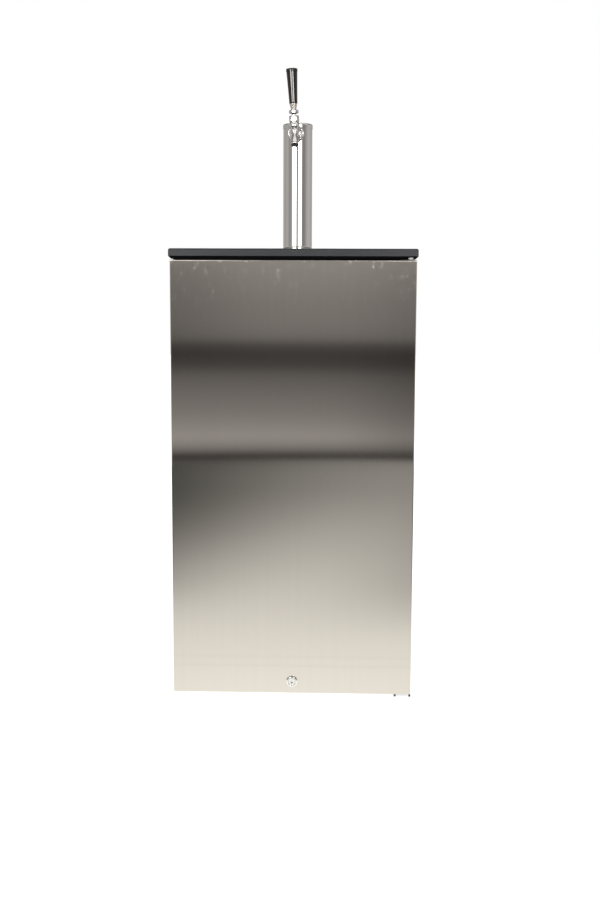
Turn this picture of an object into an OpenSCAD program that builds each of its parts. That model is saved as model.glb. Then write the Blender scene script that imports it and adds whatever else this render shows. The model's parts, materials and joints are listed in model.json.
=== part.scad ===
// Keg cooler cabinet with a single-faucet beer tower on its worktop.
// Millimetres. The origin is on the floor under the middle of the worktop, +Z up, the door faces -Y.

/* [Case] */
// Width of the case and of the door
cab_w = 600; // [540:1:700]
// Depth of the foamed case behind the door
case_d = 520; // [480:1:620]
// Underside of the case above the floor
case_lift = 24; // [20:1:40]
// Height of the machine bay under the foamed box
bay_h = 226; // [220:1:280]
// Foamed wall, from the outer sheet to the inside of the liner
wall_t = 45; // [38:1:60]
// Steel sheet of the case
sheet_t = 1.2; // [0.8:0.1:2]
// Wall of the moulded liner
liner_t = 3; // [2:0.5:4]
// Corner radius inside the liner
liner_r = 20; // [10:1:30]
// Folded return along the rear edge of a side panel
return_w = 15; // [10:1:25]
// Space behind the case for the condenser
rear_space = 30; // [24:1:50]
// Keg floor plate
deck_t = 2; // [1:0.5:4]

/* [Door] */
// Height of the door
door_h = 1085; // [900:1:1200]
// Thickness of the door
door_t = 52; // [46:1:65]
// Gap between the floor and the door
door_lift = 12; // [11:1:18]
// Gap between the door and the worktop
top_gap = 2; // [2:0.5:5]
// Stainless sheet of the door
skin_t = 1; // [0.6:0.1:1.5]
// Outer radius of the door's folded edges
door_edge_r = 2; // [2:0.5:5]
// Lip of the door skin around its back
door_lip = 10; // [8:1:14]
// Sheet of the door's inner panel
door_liner_t = 3; // [2:0.5:4]
// Height of the moulded rim on the inner panel
dike_h = 9; // [5:1:10]
// Thickness of the magnetic gasket
gasket_t = 11.7; // [11:0.1:15]
// Width of the magnetic gasket
gasket_w = 22; // [16:1:26]

/* [Hinges] */
// From the door's hinge edge to the hinge axis
hinge_inset = 15; // [13:1:20]
// From the door's front to the hinge axis
hinge_setback = 26; // [22:1:30]
// Hinge pin
pin_d = 10; // [8:0.5:11]
// Length of the pin inside the door
pin_l = 20; // [15:1:30]
// Steel of the upper hinge bracket
bracket_t = 4; // [3:0.5:5]
// Steel of the lower hinge leaf
leaf_t = 3.5; // [3:0.5:4.5]
// Outside diameter of the hinge bushes
bush_d = 18; // [16:1:22]
// Flange on a hinge bush
bush_flange_t = 1; // [0.8:0.1:1.2]
// Screws of the hinge brackets
hinge_screw_d = 5; // [4:0.5:6]

/* [Lock] */
// Lock axis above the bottom of the door
lock_up = 30.6; // [28:0.2:60]
// Outside diameter of the bezel
bezel_d = 29.4; // [27:0.2:34]
// How far the bezel stands out of the door
bezel_h = 4; // [3:0.5:5]
// Threaded barrel through the door
barrel_d = 22; // [20:0.5:24]
// Turning plug
plug_d = 16; // [14:0.5:17]
// Width of the lock nut across its flats
lock_nut_af = 28; // [26:0.5:32]
// Thickness of the lock nut
lock_nut_t = 3.5; // [3:0.1:4]
// Reach of the cam from the lock axis
cam_l = 32; // [28:1:36]
// Width of the cam
cam_w = 12; // [10:1:14]
// Thickness of the cam
cam_t = 3; // [2:0.5:3.5]
// Steel of the keeper
keeper_t = 2; // [1.5:0.5:2.5]
// Width of the keeper
keeper_w = 36; // [30:1:60]

/* [Worktop] */
// Thickness of the worktop
top_t = 25.5; // [24:0.5:45]
// Overhang at each side
top_side = 3; // [1:1:15]
// Overhang in front of the door
top_front = 6; // [5:1:20]
// Radius along the top edges
top_edge_r = 5; // [2:0.5:8]
// Chamfer along the bottom edges
top_chamfer = 7; // [3:0.5:10]
// Cold air hole under the tower
air_hole_d = 60; // [40:1:64]

/* [Drip tray] */
// Width of the tray
tray_w = 220; // [160:1:300]
// Depth of the tray from front to back
tray_d = 190; // [150:1:195]
// Height of the tray under the worktop's surface
tray_h = 19; // [14:0.5:20]
// Front edge of the worktop to the tray
tray_front = 48; // [30:1:52]
// Sheet of the tray
tray_t = 1.2; // [0.8:0.1:2]
// Rim that lies on the worktop
tray_rim = 6; // [4:0.5:7]
// Step that carries the grille
tray_step = 5; // [4:0.5:8]
// Thickness of the grille
grille_t = 2.5; // [1.5:0.5:4]
// Width of a slot in the grille
slot_w = 6; // [4:0.5:8]
// Web between two slots
slot_web = 5; // [3:0.5:8]

/* [Tower] */
// Front edge of the worktop to the column axis
tower_setback = 310; // [308:1:360]
// Turn of the tower about its own axis, faucet towards the left
tower_turn = 2.5; // [0:0.5:10]
// Outside diameter of the column
column_d = 76.2; // [74:0.1:84]
// Wall of the column
column_t = 1.5; // [1:0.1:2]
// Top of the cap above the shank axis
cap_rise = 30; // [28:1:110]
// Height of the cap's skirt over the column
cap_skirt = 13; // [11:1:20]
// Wall of the cap's skirt
cap_t = 0.9; // [0.6:0.1:2]
// Radius of the cap's edge
cap_r = 4; // [2:0.5:5]
// Base flange
flange_d = 118; // [112:1:123]
// Thickness of the base flange
flange_t = 4.2; // [3:0.1:5]
// Rubber gasket under the flange
foot_gasket_t = 1.2; // [0.8:0.1:2]
// Circle of the flange screws
flange_pcd = 97; // [94:1:99]
// Flange screws
flange_screw_d = 5; // [4:0.5:6]
// Wall of the foam sleeve inside the column
sleeve_t = 16; // [10:1:17]
// Outside diameter of the beer tube
tube_d = 9.5; // [8:0.1:10]
// Wall of the beer tube
tube_t = 1; // [0.5:0.1:1.2]
// Length of the beer tube below the ceiling of the liner
tube_drop = 45; // [40:1:60]

/* [Faucet] */
// Shank axis above the worktop
shank_h = 300; // [200:1:420]
// Turn of the faucet about the shank, handle towards the left
faucet_turn = 3; // [0:0.5:6]
// Shank where it passes the column
shank_d = 22; // [20:0.5:23]
// Threaded front end of the shank
thread_d = 28.6; // [27:0.1:30]
// Outside diameter of the coupling nut
coupling_d = 42; // [38:0.5:46]
// Column axis to the lever axis
faucet_reach = 100; // [98:1:110]
// Body between the coupling and the head
body_d = 23; // [22:0.5:23.5]
// Round head around the lever's ball
head_d = 27.4; // [26:0.2:30]
// Lever ball above the shank axis
pivot_h = 24; // [23:0.5:26]
// Ball of the lever
ball_d = 16; // [15:0.5:16.5]
// Largest tilt of the lever
lever_tilt = 20; // [15:1:21]
// Stem of the lever
stem_d = 8; // [7:0.5:8.5]
// Outside diameter of the bonnet nut
bonnet_d = 25; // [24:0.5:28]
// Lean of the spout from the vertical
spout_tilt = 27; // [10:1:30]
// Length of the spout along its axis
spout_l = 40; // [38:1:50]
// Outside of the spout at its mouth
spout_d = 20.4; // [19.5:0.2:23]
// Bore of the spout at its mouth
mouth_d = 16; // [14:0.2:17]
// Depth of the mouth bore
mouth_l = 14; // [10:1:18]

/* [Handle] */
// Outside diameter of the lever collar
collar_d = 24.6; // [22:0.2:28]
// Length of the silver ferrule
ferrule_l = 16; // [14:0.5:24]
// Ferrule where it meets the collar
ferrule_d0 = 14.6; // [13:0.2:16]
// Ferrule where it meets the handle
ferrule_d1 = 19.5; // [17:0.2:20]
// Length of the black handle
handle_l = 87; // [70:1:160]
// Handle at its foot
handle_d0 = 20.8; // [20:0.2:26]
// Handle at its top
handle_d1 = 29.2; // [26:0.2:40]

/* [Cooling] */
// Condenser tube
cond_tube_d = 5; // [4:0.5:6]
// Distance between two runs of the condenser tube
cond_pitch = 50; // [40:1:60]
// Runs of the condenser tube, an odd number
cond_runs = 13; // [9:2:13]
// Condenser wires
wire_d = 1.5; // [1:0.1:2]
// Number of condenser wires, four times a whole number plus one
wire_count = 25; // [17:4:29]
// Compressor shell
comp_d = 150; // [130:1:160]
// Height of the compressor shell
comp_h = 140; // [120:1:145]
// Rubber grommets under the compressor
grommet_h = 14; // [10:1:16]
// Compressor axis from the rear of the case
comp_back = 105; // [95:1:140]
// Compressor axis to the left of the middle
comp_left = 90; // [60:1:120]
// Levelling feet
foot_d = 44; // [36:1:50]
// Stud of a levelling foot
stud_d = 10; // [8:0.5:12]
// Foot axis from the sides and ends of the case
foot_inset = 45; // [40:1:70]

/* [Fits] */
// Gap at seats that part
seat_gap = 0.3; // [0.2:0.1:0.5]
// Radial play of pins, shafts and screws in their holes
pin_play = 0.05; // [0.02:0.01:0.1]

/* [Hidden] */
$fn = 64;
// Overrun of a cutting tool past the face it cuts
over = 1;
// Sliver by which a cut passes a face that it ends on
skim = 0.01;
// Half of the flat left at the end of a round-ended slot
slot_flat = 0.1;

// Levels above the floor
bay_z1 = case_lift + bay_h;
door_z0 = door_lift;
door_z1 = door_z0 + door_h;
top_z0 = door_z1 + top_gap;
top_z1 = top_z0 + top_t;
cav_z0 = bay_z1 + wall_t;
cav_z1 = top_z0 - wall_t;

// Stations from front to back
top_d = top_front + door_t + gasket_t + seat_gap + case_d + rear_space;
top_y0 = -top_d / 2;
door_y0 = top_y0 + top_front;
door_y1 = door_y0 + door_t;
case_y0 = door_y1 + gasket_t + seat_gap;
case_y1 = case_y0 + case_d;
cav_y1 = case_y1 - wall_t;
fold_y1 = case_y1 - 2 * sheet_t;
tower_y = top_y0 + tower_setback;

// Widths
top_w = cab_w + 2 * top_side;
inner_x = cab_w / 2 - sheet_t;
cav_w = cab_w - 2 * wall_t;
mouth_w = cav_w + 2 * liner_t;
mouth_r = liner_r + liner_t;

// Hinge axis and brackets
hinge_x = cab_w / 2 - hinge_inset;
hinge_y = door_y0 + hinge_setback;
bracket_r = 9;
bracket_w = 32;
bracket_seat = 45;
nose_w = 12;
nose_front = 2;
screw_head_d = 9;
screw_head_h = 2.4;
screw_l = 8;
screw_step = 13;
screw_edge = 10;
screw_pitch = 20;
leaf_gap = 0.3;
leaf_z1 = door_z0 - bush_flange_t - leaf_gap;
leaf_z0 = leaf_z1 - leaf_t;
pin_short = 2;
leaf_w = 42;
leaf_up = 56;
leaf_front = 15;
ear_w = 5;
ear_front = 3;
ear_drop = 1.8;

// Lock
lock_z = door_z0 + lock_up;
lock_nut_r = lock_nut_af / 2 / cos(30);
cam_gap = 0.3;
nut_show = 0.6;
barrel_end = door_t + lock_nut_t + nut_show;
cam_front = barrel_end + cam_gap;
cam_back = cam_front + cam_t;
lip_gap = 2;
keeper_z0 = lock_z + lock_nut_r + lip_gap;
cam_room = 4;
keeper_z1 = lock_z + cam_l + cam_room + keeper_t;
keeper_foot = 21;

// Gasket frame
gasket_in = 4;
gasket_in_w = mouth_w + 2 * gasket_in;
gasket_z0 = cav_z0 - liner_t - gasket_in - gasket_w;
gasket_z1 = cav_z1 + liner_t + gasket_in + gasket_w;

// Tower levels above the worktop
flange_top = foot_gasket_t + flange_t;
column_r = column_d / 2;
column_in = column_r - column_t;
tower_h = shank_h + cap_rise;
cap_z0 = tower_h - cap_skirt;
cap_over = 8;
cap_plug_h = 6;
column_top = tower_h - cap_over;
spigot_h = 12;
spigot_t = 3.5;
sleeve_r = column_in - seat_gap;

// Stations along the shank, forward of the column axis
shank_tail = -4;
tube_f = 6;
tube_in = 6;
saddle_l = 8;
saddle_w = 5.5;
saddle_f = column_r + saddle_l;
saddle_r = shank_d / 2 + saddle_w;
thread_l = 12;
seat_f = saddle_f + thread_l;
shoulder_t = 4;
coupling_lip = 3;
coupling_gap = 2.5;
coupling_f0 = saddle_f + coupling_gap;
coupling_f1 = seat_f + shoulder_t + coupling_lip;
nut_t = 6;
nut_af = 30;
nut_play = 0.2;
nut_f1 = sqrt(pow(column_in, 2) - pow(nut_af / 2 / cos(30), 2)) - nut_play;
chamber_d = 18;
chamber_l = 20;

// Lever and valve
ball_gap = 0.3;
socket_r = ball_d / 2 + ball_gap;
passage_step = 1.5;
passage_r = socket_r - passage_step;
bore_r = 7;
rod_r = 3;
neck_r = 10.6;
neck_over = 4.5;
neck_z = pivot_h + neck_over;
washer_t = 2.5;
head_drop = 9;
head_z = pivot_h - head_drop;
bonnet_gap = 0.1;
bonnet_z0 = head_z + sqrt(pow(head_d / 2, 2) - pow(neck_r + pin_play, 2)) + bonnet_gap;
bonnet_seat = neck_z + washer_t;
bonnet_over = 15;
bonnet_z1 = pivot_h + bonnet_over;
tip_r = 3;
tip_play = 0.4;
collar_over = 19;
collar_z0 = pivot_h + collar_over;
collar_rise = 2.5;
collar_h = 10;
stud_r = 4.75;
ferrule_z0 = collar_z0 + collar_h;
ferrule_z1 = ferrule_z0 + ferrule_l;
dowel_r = 6;
dowel_l = 15;
handle_z1 = ferrule_z1 + handle_l;

// Condenser
cond_in = 1;
cond_y = case_y1 + rear_space / 2 - cond_in;
cond_r = cond_tube_d / 2;
cond_side = 68;
cond_top = 96;
cond_x = cab_w / 2 - cond_side;
cond_z1 = top_z0 - cond_top;
cond_z0 = cond_z1 - (cond_runs - 1) * cond_pitch;
riser_gap = 23;
riser_x = cond_x + riser_gap;
pan_t = 1.5;
pan_z = case_lift + pan_t;
weld_nut_h = 8;
comp_x = -comp_left;
comp_y = case_y1 - comp_back;
plate_t = 2.5;
plate_z = pan_z + grommet_h;
shell_z0 = plate_z + plate_t;
shell_z1 = shell_z0 + comp_h;
comp_edge_r = 40;
seam_out = 3;
seam_r = comp_d / 2 + seam_out;
stub_in = 6;
stub_h = 6;
stub_x = comp_d / 2 - comp_edge_r - stub_in;
pipe_drop = 24;
pipe_z = bay_z1 - pipe_drop;
wire_margin = 30;
wire_span = 2 * (cond_x - wire_margin);
wire_reach = 10;
grommet_r = 9.5;
grommet_neck_r = 6;
grommet_cap_h = 3;
grommet_bolt_r = 3;
grommet_out = 6;
grommet_span = 90;

// Colours
case_black = [0.10, 0.10, 0.11];
zinc = [0.72, 0.72, 0.70];
steel = [0.66, 0.65, 0.62];
chrome = [0.82, 0.82, 0.82];
liner_white = [0.90, 0.90, 0.88];
foam_cream = [0.88, 0.80, 0.58];
rubber_black = [0.06, 0.06, 0.06];
top_black = [0.13, 0.14, 0.15];
plastic_grey = [0.45, 0.46, 0.47];

// Shared shapes

// Box between two corners
module block(lo, hi) {
  translate(lo) cube(hi - lo);
}

// Rectangle about the origin with round corners
module round_rect(w, h, r) {
  square([w - 2 * r, h], center = true);
  square([w, h - 2 * r], center = true);
  for (x = [-1, 1], y = [-1, 1]) translate([x * (w / 2 - r), y * (h / 2 - r)]) circle(r);
}

// Box with round corners that runs along Y
module tunnel(w, z0, z1, y0, y1, r) {
  translate([0, y1, (z0 + z1) / 2]) rotate([90, 0, 0]) linear_extrude(y1 - y0) round_rect(w, z1 - z0, r);
}

// Upright cylinder from z0 to z1
module post(r, z0, z1) {
  translate([0, 0, z0]) cylinder(h = z1 - z0, r = r);
}

// Upright tube from z0 to z1
module sleeve(r_out, r_in, z0, z1) {
  difference() {
    post(r_out, z0, z1);
    post(r_in, z0 - over, z1 + over);
  }
}

// Hexagonal prism of a width across its flats
module hexagon(af, z0, z1) {
  translate([0, 0, z0]) cylinder(h = z1 - z0, r = af / 2 / cos(30), $fn = 6);
}

// Turns local +Z to point forward, along -Y
module forward() {
  rotate([90, 0, 0]) children();
}

// Row axes of the tower, the shank and the faucet
module at_tower() {
  translate([0, tower_y, top_z1]) rotate([0, 0, -tower_turn]) children();
}
module at_shank() {
  at_tower() translate([0, 0, shank_h]) children();
}
module at_faucet() {
  at_shank() rotate([0, -faucet_turn, 0]) children();
}
module at_lever() {
  at_faucet() translate([0, -faucet_reach, 0]) children();
}
module at_lock() {
  translate([0, door_y0, lock_z]) forward() children();
}
module at_hinge() {
  translate([hinge_x, hinge_y, 0]) children();
}
module at_feet() {
  for (x = [-1, 1], y = [case_y0 + foot_inset, case_y1 - foot_inset])
    translate([x * (cab_w / 2 - foot_inset), y, 0]) children();
}
module at_flange_screws() {
  at_tower() for (a = [45 : 90 : 315]) rotate([0, 0, a]) translate([flange_pcd / 2, 0, 0]) children();
}
module at_upper_screws() {
  for (x = [-screw_step, 0])
    translate([hinge_x + x, case_y0 + bracket_seat - screw_edge + x, top_z0]) children();
}
module at_lower_screws() {
  for (x = [screw_edge, leaf_w - screw_edge], z = [leaf_up - screw_edge - screw_pitch, leaf_up - screw_edge])
    translate([cab_w / 2 - x, case_y0, case_lift + z]) forward() children();
}
module at_grommets() {
  for (x = [-1, 1], y = [-1, 1])
    translate([comp_x + x * (comp_d / 2 + grommet_out), comp_y + y * grommet_span / 2, 0]) children();
}

// Bent pipe along a path whose legs are square to each other
function unit(v) = v / norm(v);
module leg(a, b, r) {
  d = unit(b - a);
  u = abs(d.z) > 0.5 ? [1, 0, 0] : [0, 0, 1];
  v = cross(d, u);
  multmatrix([
    [u.x, v.x, d.x, a.x], [u.y, v.y, d.y, a.y], [u.z, v.z, d.z, a.z], [0, 0, 0, 1]
  ]) cylinder(h = norm(b - a), r = r);
}
module elbow(p, d0, d1, bend, r) {
  c = p - bend * d0 + bend * d1;
  n = cross(d0, d1);
  multmatrix([
    [-d1.x, d0.x, n.x, c.x], [-d1.y, d0.y, n.y, c.y], [-d1.z, d0.z, n.z, c.z], [0, 0, 0, 1]
  ]) rotate_extrude(angle = 90) translate([bend, 0]) circle(r);
}
module pipe(path, bend, r) {
  last = len(path) - 1;
  for (i = [0 : last - 1]) {
    d = unit(path[i + 1] - path[i]);
    a = path[i] + (i > 0 ? bend : 0) * d;
    b = path[i + 1] - (i < last - 1 ? bend : 0) * d;
    if (norm(b - a) > 0.01) leg(a, b, r);
    if (i < last - 1) elbow(path[i + 1], d, unit(path[i + 2] - path[i + 1]), bend, r);
  }
}
// Corners of a pipe that runs to and fro in an XZ plane, from the top right downwards
function to_and_fro(x, y, z1, pitch, runs) = [
  for (i = [0 : 2 * runs - 1])
    [(i + 1) % 4 < 2 ? x : -x, y, z1 - floor(i / 2) * pitch]
];

// Case

module base_pan() {
  upstand = 20;
  rear_lip = 32;
  weld_nut_wall = 3.5;
  color(zinc) difference() {
    union() {
      block([-inner_x, case_y0 + sheet_t, case_lift], [inner_x, fold_y1, pan_z]);
      for (s = [0, 1]) mirror([s, 0, 0])
        block([inner_x - pan_t, case_y0 + sheet_t, case_lift], [inner_x, fold_y1, pan_z + upstand]);
      block([-inner_x, fold_y1 - pan_t, case_lift], [inner_x, fold_y1, pan_z + rear_lip]);
      at_feet() hexagon(stud_d + 2 * weld_nut_wall, pan_z, pan_z + weld_nut_h);
    }
    at_feet() post(stud_d / 2 + pin_play, case_lift - over, pan_z + weld_nut_h + over);
    at_gland() post(gland_r + pin_play, -pan_t - over, over);
  }
}

module side_panel() {
  color(case_black) {
    block([inner_x, case_y0, case_lift], [cab_w / 2, case_y1 - sheet_t, top_z0]);
    block([inner_x - return_w, fold_y1, case_lift], [inner_x, case_y1 - sheet_t, top_z0]);
  }
}
module right_side_panel() {
  side_panel();
}
module left_side_panel() {
  mirror([1, 0, 0]) side_panel();
}

module rear_panel() {
  color(case_black)
    block([-cab_w / 2, case_y1 - sheet_t, bay_z1 - sheet_t], [cab_w / 2, case_y1, top_z0]);
}

// Louvre slots on both sides of the keeper
module kick_panel() {
  slot_l = 150;
  slot_h = 7;
  slot_pitch = 18;
  slot_rows = 5;
  slot_top = 30;
  color(case_black) difference() {
    block([-inner_x, case_y0, case_lift], [inner_x, case_y0 + sheet_t, bay_z1]);
    for (s = [-1, 1], i = [0 : slot_rows - 1])
      translate([s * cab_w / 4, case_y0 + sheet_t + over, bay_z1 - slot_top - i * slot_pitch])
        forward() linear_extrude(sheet_t + 2 * over) round_rect(slot_l, slot_h, slot_h / 2 - slot_flat);
    at_lower_screws() post(hinge_screw_d / 2 + pin_play, -sheet_t - over, over);
  }
}

module bay_ceiling() {
  color(zinc) block([-inner_x, case_y0 + sheet_t, bay_z1 - sheet_t], [inner_x, fold_y1, bay_z1]);
}

// Hole for the beer tube and the cold air, down to a level
module air_hole(z0, z1) {
  translate([0, tower_y, 0]) post(air_hole_d / 2, z0, z1);
}

module face_frame() {
  color(case_black) difference() {
    union() {
      block([-inner_x, case_y0, bay_z1], [inner_x, case_y0 + sheet_t, top_z0]);
      block([-inner_x, case_y0, top_z0 - sheet_t], [inner_x, fold_y1, top_z0]);
    }
    tunnel(mouth_w, cav_z0 - liner_t, cav_z1 + liner_t, case_y0 - over, case_y0 + sheet_t + over, mouth_r);
    air_hole(top_z0 - sheet_t - over, top_z0 + over);
    at_upper_screws() post(hinge_screw_d / 2 + pin_play, -sheet_t - over, over);
  }
}

module cabinet_foam() {
  color(foam_cream) difference() {
    block([-inner_x, case_y0 + sheet_t, bay_z1], [inner_x, case_y1 - sheet_t, top_z0 - sheet_t]);
    tunnel(mouth_w, cav_z0 - liner_t, cav_z1 + liner_t, case_y0, cav_y1 + liner_t, mouth_r);
    air_hole(cav_z1, top_z0);
    for (s = [0, 1]) mirror([s, 0, 0])
      block([inner_x - return_w, fold_y1, bay_z1 - over], [inner_x + over, case_y1, top_z0]);
    at_upper_screws() post(hinge_screw_d / 2 + pin_play, -screw_l - over, over);
  }
}

module inner_liner() {
  color(liner_white) difference() {
    tunnel(mouth_w, cav_z0 - liner_t, cav_z1 + liner_t, case_y0, cav_y1 + liner_t, mouth_r);
    tunnel(cav_w, cav_z0, cav_z1, case_y0 - over, cav_y1, liner_r);
    air_hole(cav_z1 - over, cav_z1 + liner_t + over);
  }
}

// Ribbed plate that carries the keg
module deck_plate() {
  side_gap = 1;
  front_gap = 12;
  back_gap = 4;
  rib_count = 7;
  rib_h = 1.5;
  rib_w = 8;
  rib_end = 20;
  deck_w = cav_w - 2 * liner_r - 2 * side_gap;
  front = case_y0 + front_gap;
  back = cav_y1 - back_gap;
  color(zinc) {
    block([-deck_w / 2, front, cav_z0], [deck_w / 2, back, cav_z0 + deck_t]);
    for (i = [1 : rib_count]) translate([(i / (rib_count + 1) - 0.5) * deck_w, 0, cav_z0 + deck_t])
      block([-rib_w / 2, front + rib_end, 0], [rib_w / 2, back - rib_end, rib_h]);
  }
}

// Roll-bonded plate with a raised channel
module evaporator_plate() {
  plate = 2.5;
  channel_r = 2.3;
  runs = 7;
  pitch = 50;
  side_gap = 65;
  top_run = 90;
  margin = 30;
  half_w = cav_w / 2 - side_gap;
  z1 = cav_z1 - top_run;
  color([0.78, 0.79, 0.80]) {
    block([-half_w, cav_y1 - plate, z1 - (runs - 1) * pitch - margin], [half_w, cav_y1, z1 + margin]);
    pipe(to_and_fro(half_w - margin, cav_y1 - plate, z1, pitch, runs), pitch / 2, channel_r);
  }
}

thermo_w = 100;
thermo_d = 80;
thermo_h = 40;
knob_d = 32;
knob_h = 14;
knob_shaft_r = 3;
knob_shaft_l = 12;
thermo_side = 25;
thermo_front = 100;
thermo_r = 8;
thermo_x = cav_w / 2 - thermo_w / 2 - thermo_side;
thermo_y = case_y0 + thermo_front;
module at_knob() {
  translate([thermo_x, thermo_y, cav_z1 - thermo_h / 2]) forward() children();
}
module thermostat_housing() {
  color(liner_white) difference() {
    translate([thermo_x, thermo_y + thermo_d / 2, cav_z1 - thermo_h])
      linear_extrude(thermo_h) round_rect(thermo_w, thermo_d, thermo_r);
    at_knob() post(knob_shaft_r + pin_play, -knob_shaft_l - over, over);
  }
}
module thermostat_knob() {
  grip_count = 12;
  grip_r = 2.5;
  grip_out = 1;
  skirt_h = 4;
  mark_w = 2.5;
  mark_h = 1.5;
  mark_end = 2;
  color(plastic_grey) at_knob() {
    post(knob_shaft_r, -knob_shaft_l, seat_gap);
    difference() {
      post(knob_d / 2, seat_gap, knob_h);
      for (i = [0 : grip_count - 1]) rotate([0, 0, (i + 0.5) * 360 / grip_count])
        translate([knob_d / 2 + grip_out, 0, 0]) post(grip_r, skirt_h, knob_h + over);
    }
    translate([0, knob_d / 4, knob_h]) linear_extrude(mark_h)
      square([mark_w, knob_d / 2 - 2 * mark_end], center = true);
  }
}

// Machine bay

module compressor() {
  stub_wall = 2;
  stub_r = cond_r + stub_wall;
  plate_edge = 12;
  plate_w = comp_d + 2 * (grommet_out + plate_edge);
  plate_d = grommet_span + 2 * plate_edge;
  plate_r = 10;
  seam_t = 4;
  color(case_black) difference() {
    union() {
      translate([comp_x, comp_y, (shell_z0 + shell_z1) / 2]) rotate_extrude() intersection() {
        round_rect(comp_d, comp_h, comp_edge_r);
        translate([0, -comp_h]) square([comp_d, 2 * comp_h]);
      }
      translate([comp_x, comp_y, (shell_z0 + shell_z1) / 2]) post(seam_r, -seam_t / 2, seam_t / 2);
      translate([comp_x, comp_y, plate_z]) linear_extrude(plate_t) round_rect(plate_w, plate_d, plate_r);
      translate([comp_x + stub_x, comp_y, 0]) post(stub_r, shell_z1 - over, shell_z1 + stub_h);
    }
    at_grommets() post(grommet_neck_r + pin_play, plate_z - over, plate_z + plate_t + over);
    translate([comp_x + stub_x, comp_y, 0]) post(cond_r + pin_play, shell_z1, shell_z1 + stub_h + over);
  }
}

module compressor_grommets() {
  cap_step = 1;
  color(rubber_black) at_grommets() difference() {
    union() {
      post(grommet_r, pan_z, plate_z);
      post(grommet_neck_r, plate_z, shell_z0);
      post(grommet_r - cap_step, shell_z0, shell_z0 + grommet_cap_h);
    }
    post(grommet_bolt_r, pan_z - over, shell_z0 + grommet_cap_h + over);
  }
}

module relay_box() {
  relay_w = 42;
  relay_d = 46;
  relay_h = 64;
  relay_r = 5;
  relay_gap = 0.2;
  relay_z = (shell_z0 + shell_z1) / 2 - relay_h / 2;
  color([0.16, 0.16, 0.17]) translate([comp_x + seam_r + relay_gap + relay_w / 2, comp_y, relay_z])
    linear_extrude(relay_h) round_rect(relay_w, relay_d, relay_r);
}

// Gland in the rear lip of the base pan
gland_r = 7;
gland_side = 90;
gland_up = 18;
cord_hole_r = 3.6;
module at_gland() {
  translate([cab_w / 2 - gland_side, fold_y1, pan_z + gland_up]) rotate([-90, 0, 0]) children();
}
module cord_gland() {
  rim_w = 3;
  rim_t = 3;
  tail_w = 2;
  tail_l = 6;
  color(rubber_black) at_gland() difference() {
    union() {
      post(gland_r, -pan_t, 0);
      post(gland_r + rim_w, 0, rim_t);
      post(gland_r + tail_w, -pan_t - tail_l, -pan_t);
    }
    post(cord_hole_r, -pan_t - tail_l - over, rim_t + over);
  }
}

// Hot gas line, condenser runs and drier in one brazed pipe
module condenser_tube() {
  bend = cond_pitch / 2;
  tight_bend = 10;
  drier_r = 9;
  drier_l = 90;
  drier_cone = 12;
  drier_tip_r = 2;
  drier_in = 20;
  drier_drop = 60;
  drier_y = case_y1 - drier_in;
  drier_z = bay_z1 - drier_drop;
  rise = [
    [comp_x + stub_x, comp_y, shell_z1], [comp_x + stub_x, comp_y, pipe_z], [riser_x, comp_y, pipe_z],
    [riser_x, cond_y, pipe_z], [riser_x, cond_y, cond_z1]
  ];
  runs = to_and_fro(cond_x, cond_y, cond_z1, cond_pitch, cond_runs);
  fall = [[-cond_x, cond_y, drier_z], [-cond_x, drier_y, drier_z]];
  color(case_black) {
    pipe([rise[0], rise[1], rise[2], rise[3], rise[3] + [0, 0, 2 * tight_bend]], tight_bend, cond_r);
    pipe(concat([rise[3] + [0, 0, 2 * tight_bend], rise[4]], [for (i = [1 : len(runs) - 1]) runs[i]],
      [[-cond_x, cond_y, drier_z + 2 * tight_bend]]), bend, cond_r);
    pipe([[-cond_x, cond_y, drier_z + 2 * tight_bend], fall[0], fall[1]], tight_bend, cond_r);
    translate([-cond_x, drier_y, drier_z]) forward() {
      cylinder(h = drier_cone, r1 = cond_r, r2 = drier_r);
      post(drier_r, drier_cone, drier_l - drier_cone);
      translate([0, 0, drier_l - drier_cone]) cylinder(h = drier_cone, r1 = drier_r, r2 = drier_tip_r);
    }
  }
}

function wire_x(i) = -wire_span / 2 + i * wire_span / (wire_count - 1);
module condenser_wires() {
  touch = 0.02;
  color(case_black) for (i = [0 : wire_count - 1]) {
    side = i % 2 == 0 ? -1 : 1;
    translate([wire_x(i), cond_y + side * (cond_r + wire_d / 2 + touch), 0])
      post(wire_d / 2, cond_z0 - wire_reach, cond_z1 + wire_reach);
  }
}

module condenser_brackets() {
  half_w = 6;
  half_h = 7;
  from_end = 5;
  color(zinc) for (i = [from_end, wire_count - 1 - from_end], z = [cond_z0, cond_z1]) difference() {
    block([wire_x(i) - half_w, case_y1, z - half_h], [wire_x(i) + half_w, cond_y, z + half_h]);
    translate([wire_x(i) - half_w - over, cond_y, z]) rotate([0, 90, 0])
      post(cond_r + pin_play, 0, 2 * half_w + 2 * over);
  }
}

// Levelling foot with a moulded pad on a steel stud
module foot() {
  rim_h = 4;
  pad_h = 10;
  pad_slope = 8;
  nut_h = 4;
  nut_wall = 3;
  stud_past = 3;
  stud_top = pan_z + weld_nut_h + stud_past;
  color(rubber_black) {
    post(foot_d / 2, 0, rim_h);
    translate([0, 0, rim_h]) cylinder(h = pad_h - rim_h, r1 = foot_d / 2, r2 = foot_d / 2 - pad_slope);
    hexagon(stud_d + 2 * nut_wall, pad_h, pad_h + nut_h);
    post(stud_d / 2, pad_h + nut_h, stud_top);
  }
}
foot_x = cab_w / 2 - foot_inset;
module front_left_foot() {
  translate([-foot_x, case_y0 + foot_inset, 0]) foot();
}
module front_right_foot() {
  translate([foot_x, case_y0 + foot_inset, 0]) foot();
}
module rear_left_foot() {
  translate([-foot_x, case_y1 - foot_inset, 0]) foot();
}
module rear_right_foot() {
  translate([foot_x, case_y1 - foot_inset, 0]) foot();
}

// Hinges and lock keeper

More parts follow.
